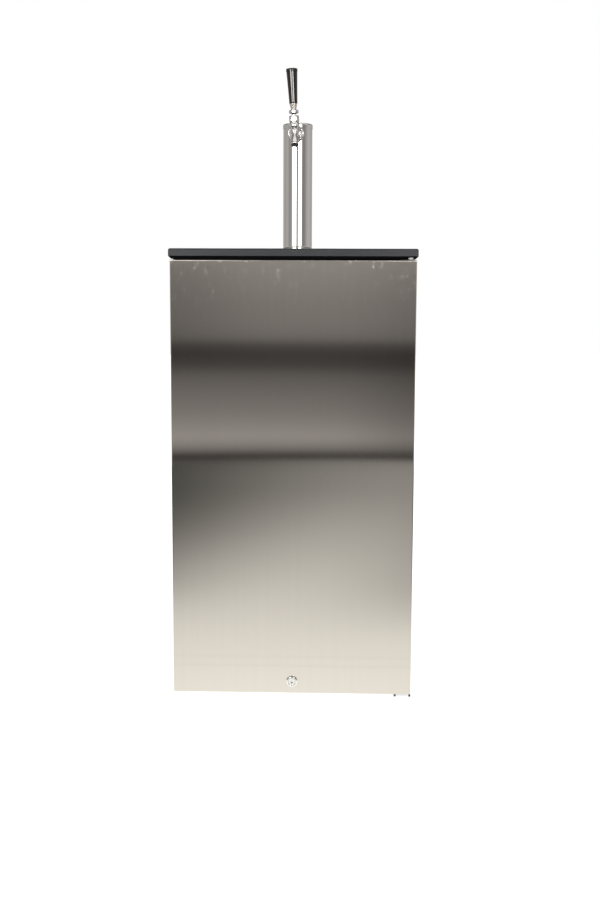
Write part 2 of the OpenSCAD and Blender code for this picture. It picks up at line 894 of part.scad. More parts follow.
// Plate under the worktop, with a nose that shows from the front in a notch of the worktop
module upper_hinge_bracket() {
  color(zinc) difference() {
    union() {
      block([hinge_x - nose_w / 2, door_y0 + nose_front, top_z0],
        [hinge_x + nose_w / 2, hinge_y, top_z0 + bracket_t]);
      at_hinge() post(bracket_r, top_z0, top_z0 + bracket_t);
      block([hinge_x + bracket_r - bracket_w, hinge_y, top_z0],
        [hinge_x + bracket_r, case_y0 + bracket_seat, top_z0 + bracket_t]);
      at_hinge() post(pin_d / 2, door_z1 - pin_l + pin_short, top_z0 + bracket_t);
    }
    at_upper_screws() post(hinge_screw_d / 2 + pin_play, -over, bracket_t + over);
  }
}

// Leaf under the door, with two ears that show below the door's edge
module lower_hinge_bracket() {
  x0 = cab_w / 2 - leaf_w;
  x1 = cab_w / 2;
  color(case_black) difference() {
    union() {
      block([x0, door_y0 + leaf_front, leaf_z0], [x1, case_y0, leaf_z1]);
      block([x0, case_y0 - leaf_t, leaf_z0], [x1, case_y0, case_lift + leaf_up]);
      for (x = [x0, x1 - ear_w])
        block([x, door_y0 + ear_front, leaf_z0 - ear_drop], [x + ear_w, door_y0 + leaf_front, leaf_z1]);
      at_hinge() post(pin_d / 2, leaf_z0, door_z0 + pin_l - pin_short);
    }
    at_lower_screws() post(hinge_screw_d / 2 + pin_play, -over, leaf_t + over);
  }
}

module hinge_screw(grip) {
  socket_wall = 0.5;
  socket_floor = 1;
  difference() {
    union() {
      post(screw_head_d / 2, grip, grip + screw_head_h);
      post(hinge_screw_d / 2, -screw_l, grip);
    }
    hexagon(hinge_screw_d - 2 * socket_wall, grip + socket_floor, grip + screw_head_h + over);
  }
}
module hinge_screws() {
  color(zinc) {
    at_upper_screws() hinge_screw(bracket_t);
    at_lower_screws() hinge_screw(leaf_t);
  }
}

// Bent keeper that the cam turns in behind
module lock_keeper() {
  lip_play = 1;
  lip_y = door_y1 + lip_play;
  half_w = keeper_w / 2;
  color(zinc) {
    block([-half_w, lip_y, keeper_z0], [half_w, lip_y + keeper_t, keeper_z1]);
    block([-half_w, lip_y, keeper_z1 - keeper_t], [half_w, case_y0, keeper_z1]);
    block([-half_w, case_y0 - keeper_t, keeper_z1], [half_w, case_y0, keeper_z1 + keeper_foot]);
  }
}

// Worktop and drip tray

// Section of the worktop: chamfer below, round edge above
module top_section(w) {
  c = top_chamfer;
  r = top_edge_r;
  polygon([
    [-w / 2 + c, 0], [w / 2 - c, 0], [w / 2, c], [w / 2, top_t - r], [-w / 2, top_t - r], [-w / 2, c]
  ]);
  translate([-w / 2 + r, top_t - r - over]) square([w - 2 * r, r + over]);
  for (s = [-1, 1]) translate([s * (w / 2 - r), top_t - r]) circle(r);
}

tray_y = top_y0 + tray_front + tray_d / 2;
tray_corner = 14;
grille_drop = 0.8;
step_z = top_z1 - grille_drop - grille_t;
module tray_prism(grow, z0, z1) {
  translate([0, tray_y, z0]) linear_extrude(z1 - z0)
    round_rect(tray_w + 2 * grow, tray_d + 2 * grow, tray_corner + grow);
}

module countertop() {
  pocket = 0.5;
  pocket_h = bracket_t + screw_head_h + pocket;
  tray_gap = 0.5;
  color(top_black) difference() {
    intersection() {
      translate([0, -top_y0, top_z0]) forward() linear_extrude(top_d) top_section(top_w);
      translate([-top_w / 2, 0, top_z0]) rotate([90, 0, 90]) linear_extrude(top_w) top_section(top_d);
    }
    air_hole(top_z0 - over, top_z1 + over);
    tray_prism(tray_gap, top_z1 - tray_h - tray_gap, top_z1 + over);
    block([hinge_x + bracket_r - bracket_w - pocket, hinge_y - bracket_r - pocket, top_z0 - over],
      [hinge_x + bracket_r + pocket, case_y0 + bracket_seat + pocket, top_z0 + pocket_h]);
    block([hinge_x - nose_w / 2 - pocket, top_y0 - over, top_z0 - over],
      [hinge_x + nose_w / 2 + pocket, hinge_y, top_z0 + bracket_t + pocket]);
    at_flange_screws() post(flange_screw_d / 2 + pin_play, -screw_depth - over, over);
  }
}

// Stepped pan that hangs by its rim
module drip_tray() {
  bottom = top_z1 - tray_h;
  color(steel) difference() {
    union() {
      tray_prism(tray_rim, top_z1, top_z1 + tray_t);
      tray_prism(0, step_z - tray_t, top_z1 + tray_t);
      tray_prism(-tray_step, bottom, step_z);
    }
    tray_prism(-tray_t, step_z, top_z1 + tray_t + over);
    tray_prism(-tray_step - tray_t, bottom + tray_t, step_z + over);
  }
}

module drip_grille() {
  play = 0.4;
  w = tray_w - 2 * tray_t - 2 * play;
  d = tray_d - 2 * tray_t - 2 * play;
  pitch = slot_w + slot_web;
  frame = 12;
  count = floor((w - 2 * frame + slot_web) / pitch);
  slot_l = (d - 3 * frame) / 2;
  color(steel) translate([0, tray_y, step_z]) linear_extrude(grille_t) difference() {
    round_rect(w, d, tray_corner - tray_t - play);
    for (i = [0 : count - 1], s = [-1, 1])
      translate([(i - (count - 1) / 2) * pitch, s * (slot_l + frame) / 2])
        round_rect(slot_w, slot_l, slot_w / 2 - slot_flat);
  }
}

// Tower

screw_depth = 20;
cone_h = 2.6;
screw_cone = flange_screw_d / 2 + cone_h;
module flange_ring(r_out, z0, z1) {
  at_tower() sleeve(r_out, air_hole_d / 2, z0, z1);
}
module tower_gasket() {
  color(rubber_black) difference() {
    flange_ring(flange_d / 2, 0, foot_gasket_t);
    at_flange_screws() post(flange_screw_d / 2 + pin_play, -over, foot_gasket_t + over);
  }
}
module tower_flange() {
  edge = 1.5;
  color(chrome) difference() {
    union() {
      flange_ring(flange_d / 2, foot_gasket_t, flange_top - edge);
      at_tower() difference() {
        translate([0, 0, flange_top - edge]) cylinder(h = edge, r1 = flange_d / 2, r2 = flange_d / 2 - edge);
        post(air_hole_d / 2, flange_top - edge - over, flange_top + over);
      }
      at_tower() sleeve(column_in - pin_play, column_in - spigot_t, flange_top, flange_top + spigot_h);
    }
    at_flange_screws() {
      post(flange_screw_d / 2 + pin_play, 0, flange_top);
      translate([0, 0, flange_top - cone_h])
        cylinder(h = cone_h + skim, r1 = flange_screw_d / 2 + pin_play, r2 = screw_cone + pin_play);
    }
  }
}
module tower_screws() {
  socket_af = 3;
  socket_h = 2;
  color(zinc) at_flange_screws() difference() {
    union() {
      post(flange_screw_d / 2, -screw_depth, flange_top - cone_h);
      translate([0, 0, flange_top - cone_h]) cylinder(h = cone_h, r1 = flange_screw_d / 2, r2 = screw_cone);
    }
    hexagon(socket_af, flange_top - socket_h, flange_top + over);
  }
}

module tower_column() {
  color(chrome) difference() {
    at_tower() sleeve(column_r, column_in, flange_top, column_top);
    at_shank() forward() post(shank_d / 2 + pin_play, 0, column_r + over);
  }
}

module tower_cap() {
  cap_out = column_r + cap_t;
  plug_r = column_in - pin_play;
  roof = 3;
  color(chrome) at_tower() rotate_extrude() difference() {
    union() {
      translate([0, cap_z0]) square([cap_out, cap_skirt - cap_r]);
      translate([0, tower_h - cap_r - over]) square([cap_out - cap_r, cap_r + over]);
      translate([cap_out - cap_r, tower_h - cap_r]) circle(cap_r);
      translate([plug_r - spigot_t, column_top - cap_plug_h]) square([spigot_t, cap_plug_h]);
    }
    translate([-over, column_top - cap_plug_h - over])
      square([plug_r - spigot_t + over, cap_over - roof + cap_plug_h + over]);
    translate([plug_r, cap_z0 - over]) square([column_r + pin_play - plug_r, cap_skirt - cap_over + over]);
  }
}

// Foam sleeve, open in front of the shank
module tower_insulation() {
  plug_gap = 1;
  notch_play = 2;
  z1 = column_top - cap_plug_h - plug_gap;
  notch_w = nut_af / cos(30) + 2 * notch_play;
  color(foam_cream) at_tower() difference() {
    sleeve(sleeve_r, sleeve_r - sleeve_t, flange_top + spigot_h, z1);
    block([-notch_w / 2, -column_r, shank_h - notch_w / 2], [notch_w / 2, 0, z1 + over]);
  }
}

module beer_tube() {
  z0 = cav_z1 - tube_drop - top_z1;
  color(steel) at_tower() translate([0, -tube_f, 0])
    sleeve(tube_d / 2, tube_d / 2 - tube_t, z0, shank_h - shank_d / 2 + tube_in);
}

module shank() {
  tube_top = tube_in - shank_d / 2;
  color(chrome) at_shank() difference() {
    forward() {
      post(shank_d / 2, shank_tail, saddle_f);
      post(thread_d / 2, saddle_f, seat_f);
    }
    forward() post(chamber_d / 2, seat_f - chamber_l, seat_f + over);
    forward() post(tube_d / 2 - tube_t, tube_f, seat_f - chamber_l + over);
    translate([0, -tube_f, 0]) {
      post(tube_d / 2 + pin_play, -shank_d, tube_top);
      post(tube_d / 2 - tube_t, tube_top - over, 0);
    }
  }
}

// Saddle between the round column and the coupling
module shank_flange() {
  color(chrome) difference() {
    at_shank() forward() sleeve(saddle_r, shank_d / 2 + pin_play, 0, saddle_f - pin_play);
    at_tower() post(column_r + pin_play, shank_h - 2 * saddle_r, shank_h + 2 * saddle_r);
  }
}

module shank_nut() {
  color(zinc) at_shank() forward() difference() {
    hexagon(nut_af, nut_f1 - nut_t, nut_f1);
    post(shank_d / 2 + pin_play, nut_f1 - nut_t - over, nut_f1 + over);
  }
}

// Coupling nut with spanner notches
module coupling_nut() {
  notch_count = 6;
  notch_r = 2.2;
  notch_out = 0.8;
  bevel = 2;
  r = coupling_d / 2;
  color(chrome) at_faucet() forward() difference() {
    union() {
      post(r, coupling_f0, coupling_f1 - bevel);
      translate([0, 0, coupling_f1 - bevel]) cylinder(h = bevel, r1 = r, r2 = r - bevel);
    }
    post(thread_d / 2 + pin_play, coupling_f0 - over, seat_f + shoulder_t + pin_play);
    post(body_d / 2 + pin_play, coupling_f0, coupling_f1 + over);
    for (i = [0 : notch_count - 1]) rotate([0, 0, (i + 0.5) * 360 / notch_count])
      translate([r + notch_out, 0, 0]) post(notch_r, coupling_f0 - over, coupling_f1 + over);
  }
}

// Spout radius along its axis: a smooth swell from the neck to the mouth
spout_neck_r = 7.4;
spout_lip = 6;
spout_swell = spout_l - spout_lip;
function spout_r(s) = spout_neck_r + (spout_d / 2 - spout_neck_r) * (1 - cos(180 * s / spout_swell)) / 2;
module spout_form() {
  steps = 12;
  bead = 0.5;
  bead_slope = 0.6;
  bead_z0 = spout_l - 4;
  bead_z1 = spout_l - 1;
  r = spout_d / 2;
  rotate_extrude() polygon(concat(
    [[0, 0]],
    [for (i = [0 : steps]) [spout_r(i * spout_swell / steps), i * spout_swell / steps]],
    [
      [r, bead_z0], [r + bead, bead_z0 + bead_slope], [r + bead, bead_z1 - bead_slope], [r, bead_z1],
      [r, spout_l], [0, spout_l]
    ]
  ));
}
module along_spout() {
  rotate([180 - spout_tilt, 0, 0]) children();
}

// Half of a disc on the turning axis
module half_disc(r, z) {
  intersection() {
    translate([0, z]) circle(r);
    translate([0, z - r]) square([r, 2 * r]);
  }
}

module faucet_body() {
  swing_play = 2;
  swing_step = 1.8;
  swing_top = 8;
  shoulder_play = 0.1;
  nose_wall = 3;
  mouth_step = 2.5;
  swing_f = (pivot_h * sin(lever_tilt) + swing_play) / 2;
  color(chrome) difference() {
    union() {
      at_faucet() forward() rotate_extrude() {
        translate([0, seat_f]) square([thread_d / 2 - shoulder_play, shoulder_t]);
        translate([0, seat_f]) square([body_d / 2, faucet_reach - seat_f]);
        half_disc(body_d / 2, faucet_reach);
      }
      at_lever() rotate_extrude() {
        half_disc(head_d / 2, head_z);
        translate([0, head_z]) square([neck_r, neck_z - head_z]);
      }
      at_lever() along_spout() spout_form();
    }
    at_faucet() forward() post(bore_r, seat_f - over, faucet_reach + body_d / 2 - nose_wall);
    at_lever() {
      rotate_extrude() {
        square([passage_r, pivot_h]);
        half_disc(socket_r, pivot_h);
        translate([0, pivot_h]) square([socket_r, neck_z + over - pivot_h]);
      }
      translate([0, swing_f, 0]) post(passage_r - swing_step, 0, pivot_h - swing_top);
      along_spout() rotate_extrude() {
        square([mouth_d / 2 - mouth_step, spout_l]);
        translate([0, spout_l - mouth_l]) square([mouth_d / 2, mouth_l + over]);
      }
    }
  }
}

module friction_washer() {
  ball_at_neck = sqrt(pow(ball_d / 2, 2) - pow(neck_z - pivot_h, 2));
  color([0.90, 0.90, 0.86]) at_lever()
    sleeve(neck_r - seat_gap, ball_at_neck + seat_gap, neck_z, bonnet_seat);
}

// Bonnet nut with a wide mouth for the stem
module bonnet_nut() {
  grip_count = 8;
  grip_r = 2;
  grip_out = 1.2;
  grip_end = 3;
  foot_edge = 0.6;
  top_edge_w = 1;
  top_edge_h = 2;
  mouth_wall = 1.9;
  r = bonnet_d / 2;
  mouth_r0 = socket_r;
  mouth_r1 = r - mouth_wall;
  color(chrome) at_lever() difference() {
    rotate_extrude() polygon([
      [neck_r + pin_play, bonnet_z0], [r - foot_edge, bonnet_z0], [r, bonnet_z0 + foot_edge],
      [r, bonnet_z1 - top_edge_h], [r - top_edge_w, bonnet_z1], [mouth_r1, bonnet_z1],
      [mouth_r0, bonnet_seat], [neck_r + pin_play, bonnet_seat]
    ]);
    for (i = [0 : grip_count - 1]) rotate([0, 0, (i + 0.5) * 360 / grip_count])
      translate([r + grip_out, 0, 0]) post(grip_r, bonnet_z0 + grip_end, bonnet_z1 - grip_end);
  }
}

// Valve rod: washer end at the back, guide collar, slotted tongue under the lever
module plunger_shaft() {
  flange_r = 5;
  flange_l = 3;
  guide_gap = 8;
  guide_l = 6;
  flute_r = 2.4;
  tongue_l = 8;
  tongue_t = 4;
  tongue_play = 0.6;
  tongue_short = 1;
  washer_f = seat_f - seat_gap - seat_washer_t;
  guide_f = seat_f + guide_gap;
  slot = tip_r + tip_play;
  color(steel) at_faucet() difference() {
    union() {
      forward() {
        post(flange_r, washer_f - flange_l, washer_f);
        post(rod_r, washer_f, faucet_reach - tongue_l + over);
        difference() {
          post(bore_r - seat_gap, guide_f, guide_f + guide_l);
          for (a = [0 : 90 : 270]) rotate([0, 0, a + 45]) translate([bore_r, 0, 0])
            post(flute_r, guide_f - over, guide_f + guide_l + over);
        }
      }
      intersection() {
        forward()
          post(bore_r - tongue_play, faucet_reach - tongue_l, faucet_reach + tongue_l - tongue_short);
        translate([0, -faucet_reach, 0]) cube([2 * bore_r, 4 * tongue_l, tongue_t], center = true);
      }
    }
    translate([0, -faucet_reach, 0]) cube([2 * slot, 2 * slot, 2 * tongue_t], center = true);
  }
}
seat_washer_t = 3.2;
module seat_washer() {
  washer_over = 1.4;
  f1 = seat_f - seat_gap;
  color(rubber_black) at_faucet() forward()
    sleeve(bore_r + washer_over, rod_r + pin_play, f1 - seat_washer_t, f1);
}

// Lever with its ball, the arm that works the valve and the handle stud
module faucet_lever() {
  arm_z0 = 2;
  arm_short = 8;
  arm_r0 = 1.9;
  arm_r1 = 3.4;
  stud_short = 4;
  color(steel) at_lever() {
    sphere(tip_r);
    translate([0, 0, arm_z0]) cylinder(h = pivot_h - arm_short, r1 = arm_r0, r2 = arm_r1);
    translate([0, 0, pivot_h]) sphere(ball_d / 2);
    post(stem_d / 2, pivot_h, collar_z0);
    post(stud_r, collar_z0, ferrule_z1 - stud_short);
  }
}
module lever_collar() {
  foot_w = 1;
  bevel_w = 1.8;
  bevel_h = 1.5;
  r = collar_d / 2;
  color(chrome) at_lever() rotate_extrude() polygon([
    [stud_r + pin_play, collar_z0], [stud_r + foot_w, collar_z0], [r, collar_z0 + collar_rise],
    [r, ferrule_z0 - bevel_h], [r - bevel_w, ferrule_z0], [stud_r + pin_play, ferrule_z0]
  ]);
}
module handle_ferrule() {
  web = 3;
  color(steel) at_lever() rotate_extrude() polygon([
    [stud_r + pin_play, ferrule_z0], [ferrule_d0 / 2, ferrule_z0], [ferrule_d1 / 2, ferrule_z1],
    [dowel_r, ferrule_z1], [dowel_r, ferrule_z1 + dowel_l], [0, ferrule_z1 + dowel_l],
    [0, ferrule_z1 - web], [stud_r + pin_play, ferrule_z1 - web]
  ]);
}

// Tapered grip with a plain band at the top
module tap_handle() {
  band = 9;
  groove = 0.5;
  crown_r = 3;
  flare = 1.15;
  dowel_room = 0.5;
  r0 = handle_d0 / 2;
  r1 = handle_d1 / 2;
  band_z = handle_z1 - band;
  steps = 8;
  color(rubber_black) at_lever() difference() {
    rotate_extrude() {
      polygon(concat(
        [[0, ferrule_z1]],
        [for (i = [0 : steps]) [
          r0 + (r1 - groove - r0) * pow(i / steps, flare), ferrule_z1 + i * (handle_l - band) / steps
        ]],
        [[r1, band_z + groove], [r1, handle_z1 - crown_r], [0, handle_z1 - crown_r]]
      ));
      translate([0, handle_z1 - crown_r - over]) square([r1 - crown_r, crown_r + over]);
      intersection() {
        translate([r1 - crown_r, handle_z1 - crown_r]) circle(crown_r);
        translate([0, handle_z1 - 2 * crown_r]) square([r1, 2 * crown_r]);
      }
    }
    post(dowel_r + pin_play, ferrule_z1 - over, ferrule_z1 + dowel_l + dowel_room);
  }
}

// Door

// Block of the door with round front edges, drawn in from every face but the back
module door_form(inset, y1) {
  w = cab_w - 2 * inset;
  h = door_h - 2 * inset;
  d = door_t - inset;
  r = door_edge_r - inset;
  mid_z = (door_z0 + door_z1) / 2;
  intersection() {
    block([-w / 2, door_y0 + inset, door_z0 + inset], [w / 2, y1, door_z1 - inset]);
    translate([0, door_y1, door_z0]) linear_extrude(door_h) round_rect(w, 2 * d, r);
    translate([-w / 2, door_y1, mid_z]) rotate([90, 0, 90]) linear_extrude(w) round_rect(2 * d, h, r);
  }
}
module door_back(margin, y0, y1) {
  block([-cab_w / 2 + margin, y0, door_z0 + margin], [cab_w / 2 - margin, y1, door_z1 - margin]);
}
module bush_bodies(grow) {
  at_hinge() {
    post(bush_d / 2 + grow, door_z0 - grow, door_z0 + pin_l + grow);
    post(bush_d / 2 + grow, door_z1 - pin_l - grow, door_z1 + grow);
  }
}
module lock_hole() {
  at_lock() post(barrel_d / 2 + pin_play, -door_t - over, over);
}

module door_skin() {
  color(steel) difference() {
    door_form(0, door_y1);
    door_form(skin_t, door_y1 - skin_t);
    door_back(door_lip, door_y1 - 2 * skin_t, door_y1 + over);
    bush_bodies(pin_play);
    lock_hole();
  }
}

module door_foam() {
  color(foam_cream) difference() {
    door_form(skin_t, door_y1 - door_liner_t);
    bush_bodies(pin_play);
    lock_hole();
  }
}

// Inner panel with a moulded rim inside the gasket
module door_liner() {
  dike_w = 14;
  dike_gap = 3;
  dike_r = 24;
  dike_in_r = 14;
  root = 1;
  panel_play = 0.1;
  out_w = gasket_in_w - 2 * dike_gap;
  z0 = gasket_z0 + gasket_w + dike_gap;
  z1 = gasket_z1 - gasket_w - dike_gap;
  color(liner_white) difference() {
    union() {
      intersection() {
        door_back(door_lip + panel_play, door_y1 - door_liner_t, door_y1);
        door_form(skin_t, door_y1);
      }
      difference() {
        tunnel(out_w, z0, z1, door_y1 - root, door_y1 + dike_h, dike_r);
        tunnel(out_w - 2 * dike_w, z0 + dike_w, z1 - dike_w, door_y1, door_y1 + dike_h + over, dike_in_r);
      }
    }
    lock_hole();
  }
}

module door_gasket() {
  out_r = 4;
  in_r = 3;
  color([0.20, 0.20, 0.21]) difference() {
    tunnel(gasket_in_w + 2 * gasket_w, gasket_z0, gasket_z1, door_y1, door_y1 + gasket_t, out_r);
    tunnel(gasket_in_w, gasket_z0 + gasket_w, gasket_z1 - gasket_w,
      door_y1 - over, door_y1 + gasket_t + over, in_r);
  }
}

module hinge_bushes() {
  flange_w = 3;
  flange_r = bush_d / 2 + flange_w;
  color([0.85, 0.85, 0.82]) at_hinge() {
    difference() {
      union() {
        post(bush_d / 2, door_z0, door_z0 + pin_l);
        post(flange_r, door_z0 - bush_flange_t, door_z0);
      }
      post(pin_d / 2 + pin_play, door_z0 - bush_flange_t - over, door_z0 + pin_l + over);
    }
    difference() {
      union() {
        post(bush_d / 2, door_z1 - pin_l, door_z1);
        post(flange_r, door_z1, door_z1 + bush_flange_t);
      }
      post(pin_d / 2 + pin_play, door_z1 - pin_l - over, door_z1 + bush_flange_t + over);
    }
  }
}

// Lock

plug_rim = 0.6;
plug_head_r = plug_d / 2 + plug_rim;
plug_seat = 0.5;
module lock_barrel() {
  bevel_w = 3.6;
  bevel_h = 2.4;
  r = bezel_d / 2;
  dish = 0.5;
  dish_edge = 0.6;
  color(chrome) at_lock() difference() {
    union() {
      post(barrel_d / 2, -barrel_end, 0);
      post(r, 0, bezel_h - bevel_h);
      translate([0, 0, bezel_h - bevel_h]) cylinder(h = bevel_h, r1 = r, r2 = r - bevel_w);
    }
    post(plug_d / 2 + pin_play, -barrel_end - over, bezel_h + over);
    post(plug_head_r + seat_gap, plug_seat, bezel_h + over);
    translate([0, 0, bezel_h - dish])
      cylinder(h = dish + skim, r1 = plug_head_r + seat_gap, r2 = r - bevel_w - dish_edge);
  }
}

module lock_nut() {
  color(zinc) at_lock() difference() {
    hexagon(lock_nut_af, -door_t - lock_nut_t, -door_t);
    post(barrel_d / 2 + pin_play, -door_t - lock_nut_t - over, over);
  }
}

tail_d = 10;
tail_flat = 3.6;
module tail_section(grow) {
  intersection() {
    circle(tail_d / 2 + grow);
    square([tail_d + 2 * over, 2 * (tail_flat + grow)], center = true);
  }
}
module lock_plug() {
  face_in = 0.6;
  face = bezel_h - face_in;
  key_depth = 5;
  key_r = 2.2;
  key_up = 1;
  key_foot = 3.8;
  key_w0 = 2.8;
  key_w1 = 6;
  color(chrome) at_lock() difference() {
    union() {
      post(plug_d / 2, -cam_front, face);
      post(plug_head_r, plug_seat + seat_gap, face);
      translate([0, 0, -cam_back]) linear_extrude(cam_t) tail_section(0);
    }
    translate([0, 0, face - key_depth]) linear_extrude(key_depth + over) {
      translate([0, key_up]) circle(key_r);
      polygon([
        [-key_w0 / 2, key_up], [-key_w1 / 2, -key_foot], [key_w1 / 2, -key_foot], [key_w0 / 2, key_up]
      ]);
    }
  }
}

// Flat cam, pointing left when the lock is open
module lock_cam() {
  hub_r = 9;
  color(zinc) at_lock() translate([0, 0, -cam_back]) linear_extrude(cam_t) difference() {
    union() {
      circle(hub_r);
      translate([-cam_l, -cam_w / 2]) square([cam_l, cam_w]);
    }
    tail_section(pin_play);
  }
}

base_pan();
left_side_panel();
right_side_panel();
rear_panel();
kick_panel();
bay_ceiling();
face_frame();
cabinet_foam();
inner_liner();
deck_plate();
evaporator_plate();
thermostat_housing();
thermostat_knob();
compressor();
compressor_grommets();
relay_box();
cord_gland();
condenser_tube();
condenser_wires();
condenser_brackets();
upper_hinge_bracket();
lower_hinge_bracket();
hinge_screws();
lock_keeper();
front_left_foot();
front_right_foot();
rear_left_foot();
rear_right_foot();
countertop();
drip_tray();
drip_grille();
tower_gasket();
tower_flange();
tower_screws();
tower_column();
tower_cap();
tower_insulation();
beer_tube();
shank();
shank_flange();
shank_nut();
coupling_nut();
faucet_body();
friction_washer();
bonnet_nut();
plunger_shaft();
seat_washer();
faucet_lever();
lever_collar();
handle_ferrule();
tap_handle();
door_skin();
door_foam();
door_liner();
door_gasket();
hinge_bushes();
lock_barrel();
lock_nut();
lock_plug();
lock_cam();
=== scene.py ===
"""Keg cooler with a beer tower: looks for its packed CAD model.

The frame gives every place and size. New surfaces are worked out with numpy, most other solids
are shown as merged copies with a small round on their edges, and the foams are shown as they are.
"""

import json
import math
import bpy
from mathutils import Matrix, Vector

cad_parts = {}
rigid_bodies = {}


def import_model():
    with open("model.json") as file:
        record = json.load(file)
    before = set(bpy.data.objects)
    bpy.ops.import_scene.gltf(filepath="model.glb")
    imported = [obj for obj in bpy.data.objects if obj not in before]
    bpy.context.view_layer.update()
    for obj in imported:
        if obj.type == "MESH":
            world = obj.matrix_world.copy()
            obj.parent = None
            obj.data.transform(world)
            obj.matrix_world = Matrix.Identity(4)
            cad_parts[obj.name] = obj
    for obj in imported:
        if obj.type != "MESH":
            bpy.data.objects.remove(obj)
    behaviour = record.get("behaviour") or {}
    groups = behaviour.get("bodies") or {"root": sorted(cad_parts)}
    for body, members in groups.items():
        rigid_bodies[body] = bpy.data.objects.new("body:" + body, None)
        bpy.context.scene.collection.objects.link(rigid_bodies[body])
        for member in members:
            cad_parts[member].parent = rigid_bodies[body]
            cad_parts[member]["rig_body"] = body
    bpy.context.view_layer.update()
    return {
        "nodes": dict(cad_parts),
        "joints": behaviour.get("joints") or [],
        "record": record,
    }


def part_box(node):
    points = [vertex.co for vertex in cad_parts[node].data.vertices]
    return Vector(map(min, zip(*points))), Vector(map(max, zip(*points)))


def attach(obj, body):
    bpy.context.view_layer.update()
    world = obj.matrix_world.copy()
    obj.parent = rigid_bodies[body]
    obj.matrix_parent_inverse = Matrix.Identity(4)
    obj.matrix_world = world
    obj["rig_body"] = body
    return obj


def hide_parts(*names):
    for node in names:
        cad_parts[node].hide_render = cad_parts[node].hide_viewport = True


bl_info = {
    "name": "Keg cooler with beer tower",
    "version": (1, 0, 0),
    "blender": (4, 5, 0),
    "location": "View3D > Sidebar > Keg cooler",
    "description": "Dresses the packed keg cooler and sets up its studio",
    "category": "Object",
}

import bmesh
import bpy
import numpy as np
from mathutils import Matrix

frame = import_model()
NODES = frame["nodes"]
SLOT_OF = {part["node"]: part["material_slot"] for part in frame["record"]["subparts"]}
JOINTS = {joint["name"]: joint for joint in frame["joints"]}

MM = 0.001
UP = np.array([0.0, 0.0, 1.0])


# Places read from the frame


def corners_of(mesh):
    """Corners of a mesh, one row of x, y, z in metres for each."""
    flat = np.empty(3 * len(mesh.vertices), np.float32)
    mesh.vertices.foreach_get("co", flat)
    return flat.reshape(-1, 3).astype(float)


class Axis:
    """A turning axis: a point on it and three directions, the last one along the axis."""

    def __init__(self, origin, across, along):
        self.origin = np.array(origin, float)
        self.along = np.array(along, float)
        self.across = np.array(across, float)
        self.side = np.cross(self.along, self.across)

    def measure(self, node):
        """Distance from the axis and height along it, for each corner of a node."""
        offset = corners_of(NODES[node].data) - self.origin
        height = offset @ self.along
        radius = np.hypot(offset @ self.across, offset @ self.side)
        return radius, height


LEVER = JOINTS["lever_tilt"]
FAUCET_SIDE = np.array(LEVER["axis"], float)
FAUCET_BACK = np.array(JOINTS["valve_slide"]["axis"], float)
LEVER_AXIS = Axis(LEVER["pos_m"], FAUCET_SIDE, np.cross(FAUCET_SIDE, FAUCET_BACK))
FLANGE_LO, FLANGE_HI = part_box("tower_flange")
TOWER_FOOT = ((FLANGE_LO.x + FLANGE_HI.x) / 2, (FLANGE_LO.y + FLANGE_HI.y) / 2, FLANGE_HI.z)
TOWER_AXIS = Axis(TOWER_FOOT, (1, 0, 0), UP)


# Settings


def length(name, description, default):
    """A size in metres."""
    return bpy.props.FloatProperty(
        name=name, description=description, default=default, unit="LENGTH", precision=5
    )


def share(name, description, default):
    """A plain number from 0 to 1."""
    return bpy.props.FloatProperty(
        name=name, description=description, default=default, min=0.0, max=1.0, subtype="FACTOR"
    )


def colour(name, description, default):
    """A linear colour."""
    return bpy.props.FloatVectorProperty(
        name=name, description=description, default=default, size=3, min=0.0, max=1.0, subtype="COLOR"
    )


def number(name, description, default, unit="NONE"):
    """A plain number, or a measure in its unit."""
    return bpy.props.FloatProperty(name=name, description=description, default=default, unit=unit)


def slant(name, description, degrees):
    """An angle, given in degrees."""
    return bpy.props.FloatProperty(
        name=name, description=description, default=math.radians(degrees), subtype="ANGLE"
    )


class DoorSettings(bpy.types.PropertyGroup):
    """Sizes of the folded door sheet and its gasket."""

    fold: length("Fold radius", "Outer radius of the folded front edges", 2.0 * MM)
    hem: length("Hem radius", "Outer radius of the folds at the back", 1.6 * MM)
    sheet: length("Sheet", "Thickness of the stainless sheet", 1.0 * MM)
    lip: length("Lip", "Width of the lip around the back", 10.0 * MM)
    wave: length("Wave", "Height of the slow waves in the front", 0.12 * MM)
    bellows: length("Bellows", "Depth of the folds along the gasket", 2.4 * MM)


class HandleSettings(bpy.types.PropertyGroup):
    """Sizes of the tap handle that the eye reads."""

    band: length("Band", "Height of the plain band at the top", 9.0 * MM)
    groove: length("Groove", "Depth of the groove under the band", 0.7 * MM)
    crown: length("Crown", "Rise of the domed top", 0.8 * MM)
    edge: length("Edge", "Round along the top and the foot", 2.2 * MM)
    flare: number("Flare", "Power of the taper", 1.15)


class TowerSettings(bpy.types.PropertyGroup):
    """Sizes of the column and its cap."""

    cap_edge: length("Cap edge", "Round along the top of the cap", 4.0 * MM)
    cap_dome: length("Cap dome", "Fall of the cap from its middle to its edge", 0.6 * MM)
    skirt_edge: length("Skirt edge", "Round along the foot of the cap", 0.4 * MM)
    edge: length("Edge", "Small round on the other chromed edges", 0.4 * MM)


class CaseSettings(bpy.types.PropertyGroup):
    """Rounds on the folded and moulded pieces of the cabinet."""

    sheet_edge: length("Sheet edge", "Round on folded steel", 0.5 * MM)
    moulded_edge: length("Moulded edge", "Round on plastic and rubber", 0.8 * MM)
    worktop_edge: length("Worktop edge", "Round where faces of the worktop meet", 0.8 * MM)


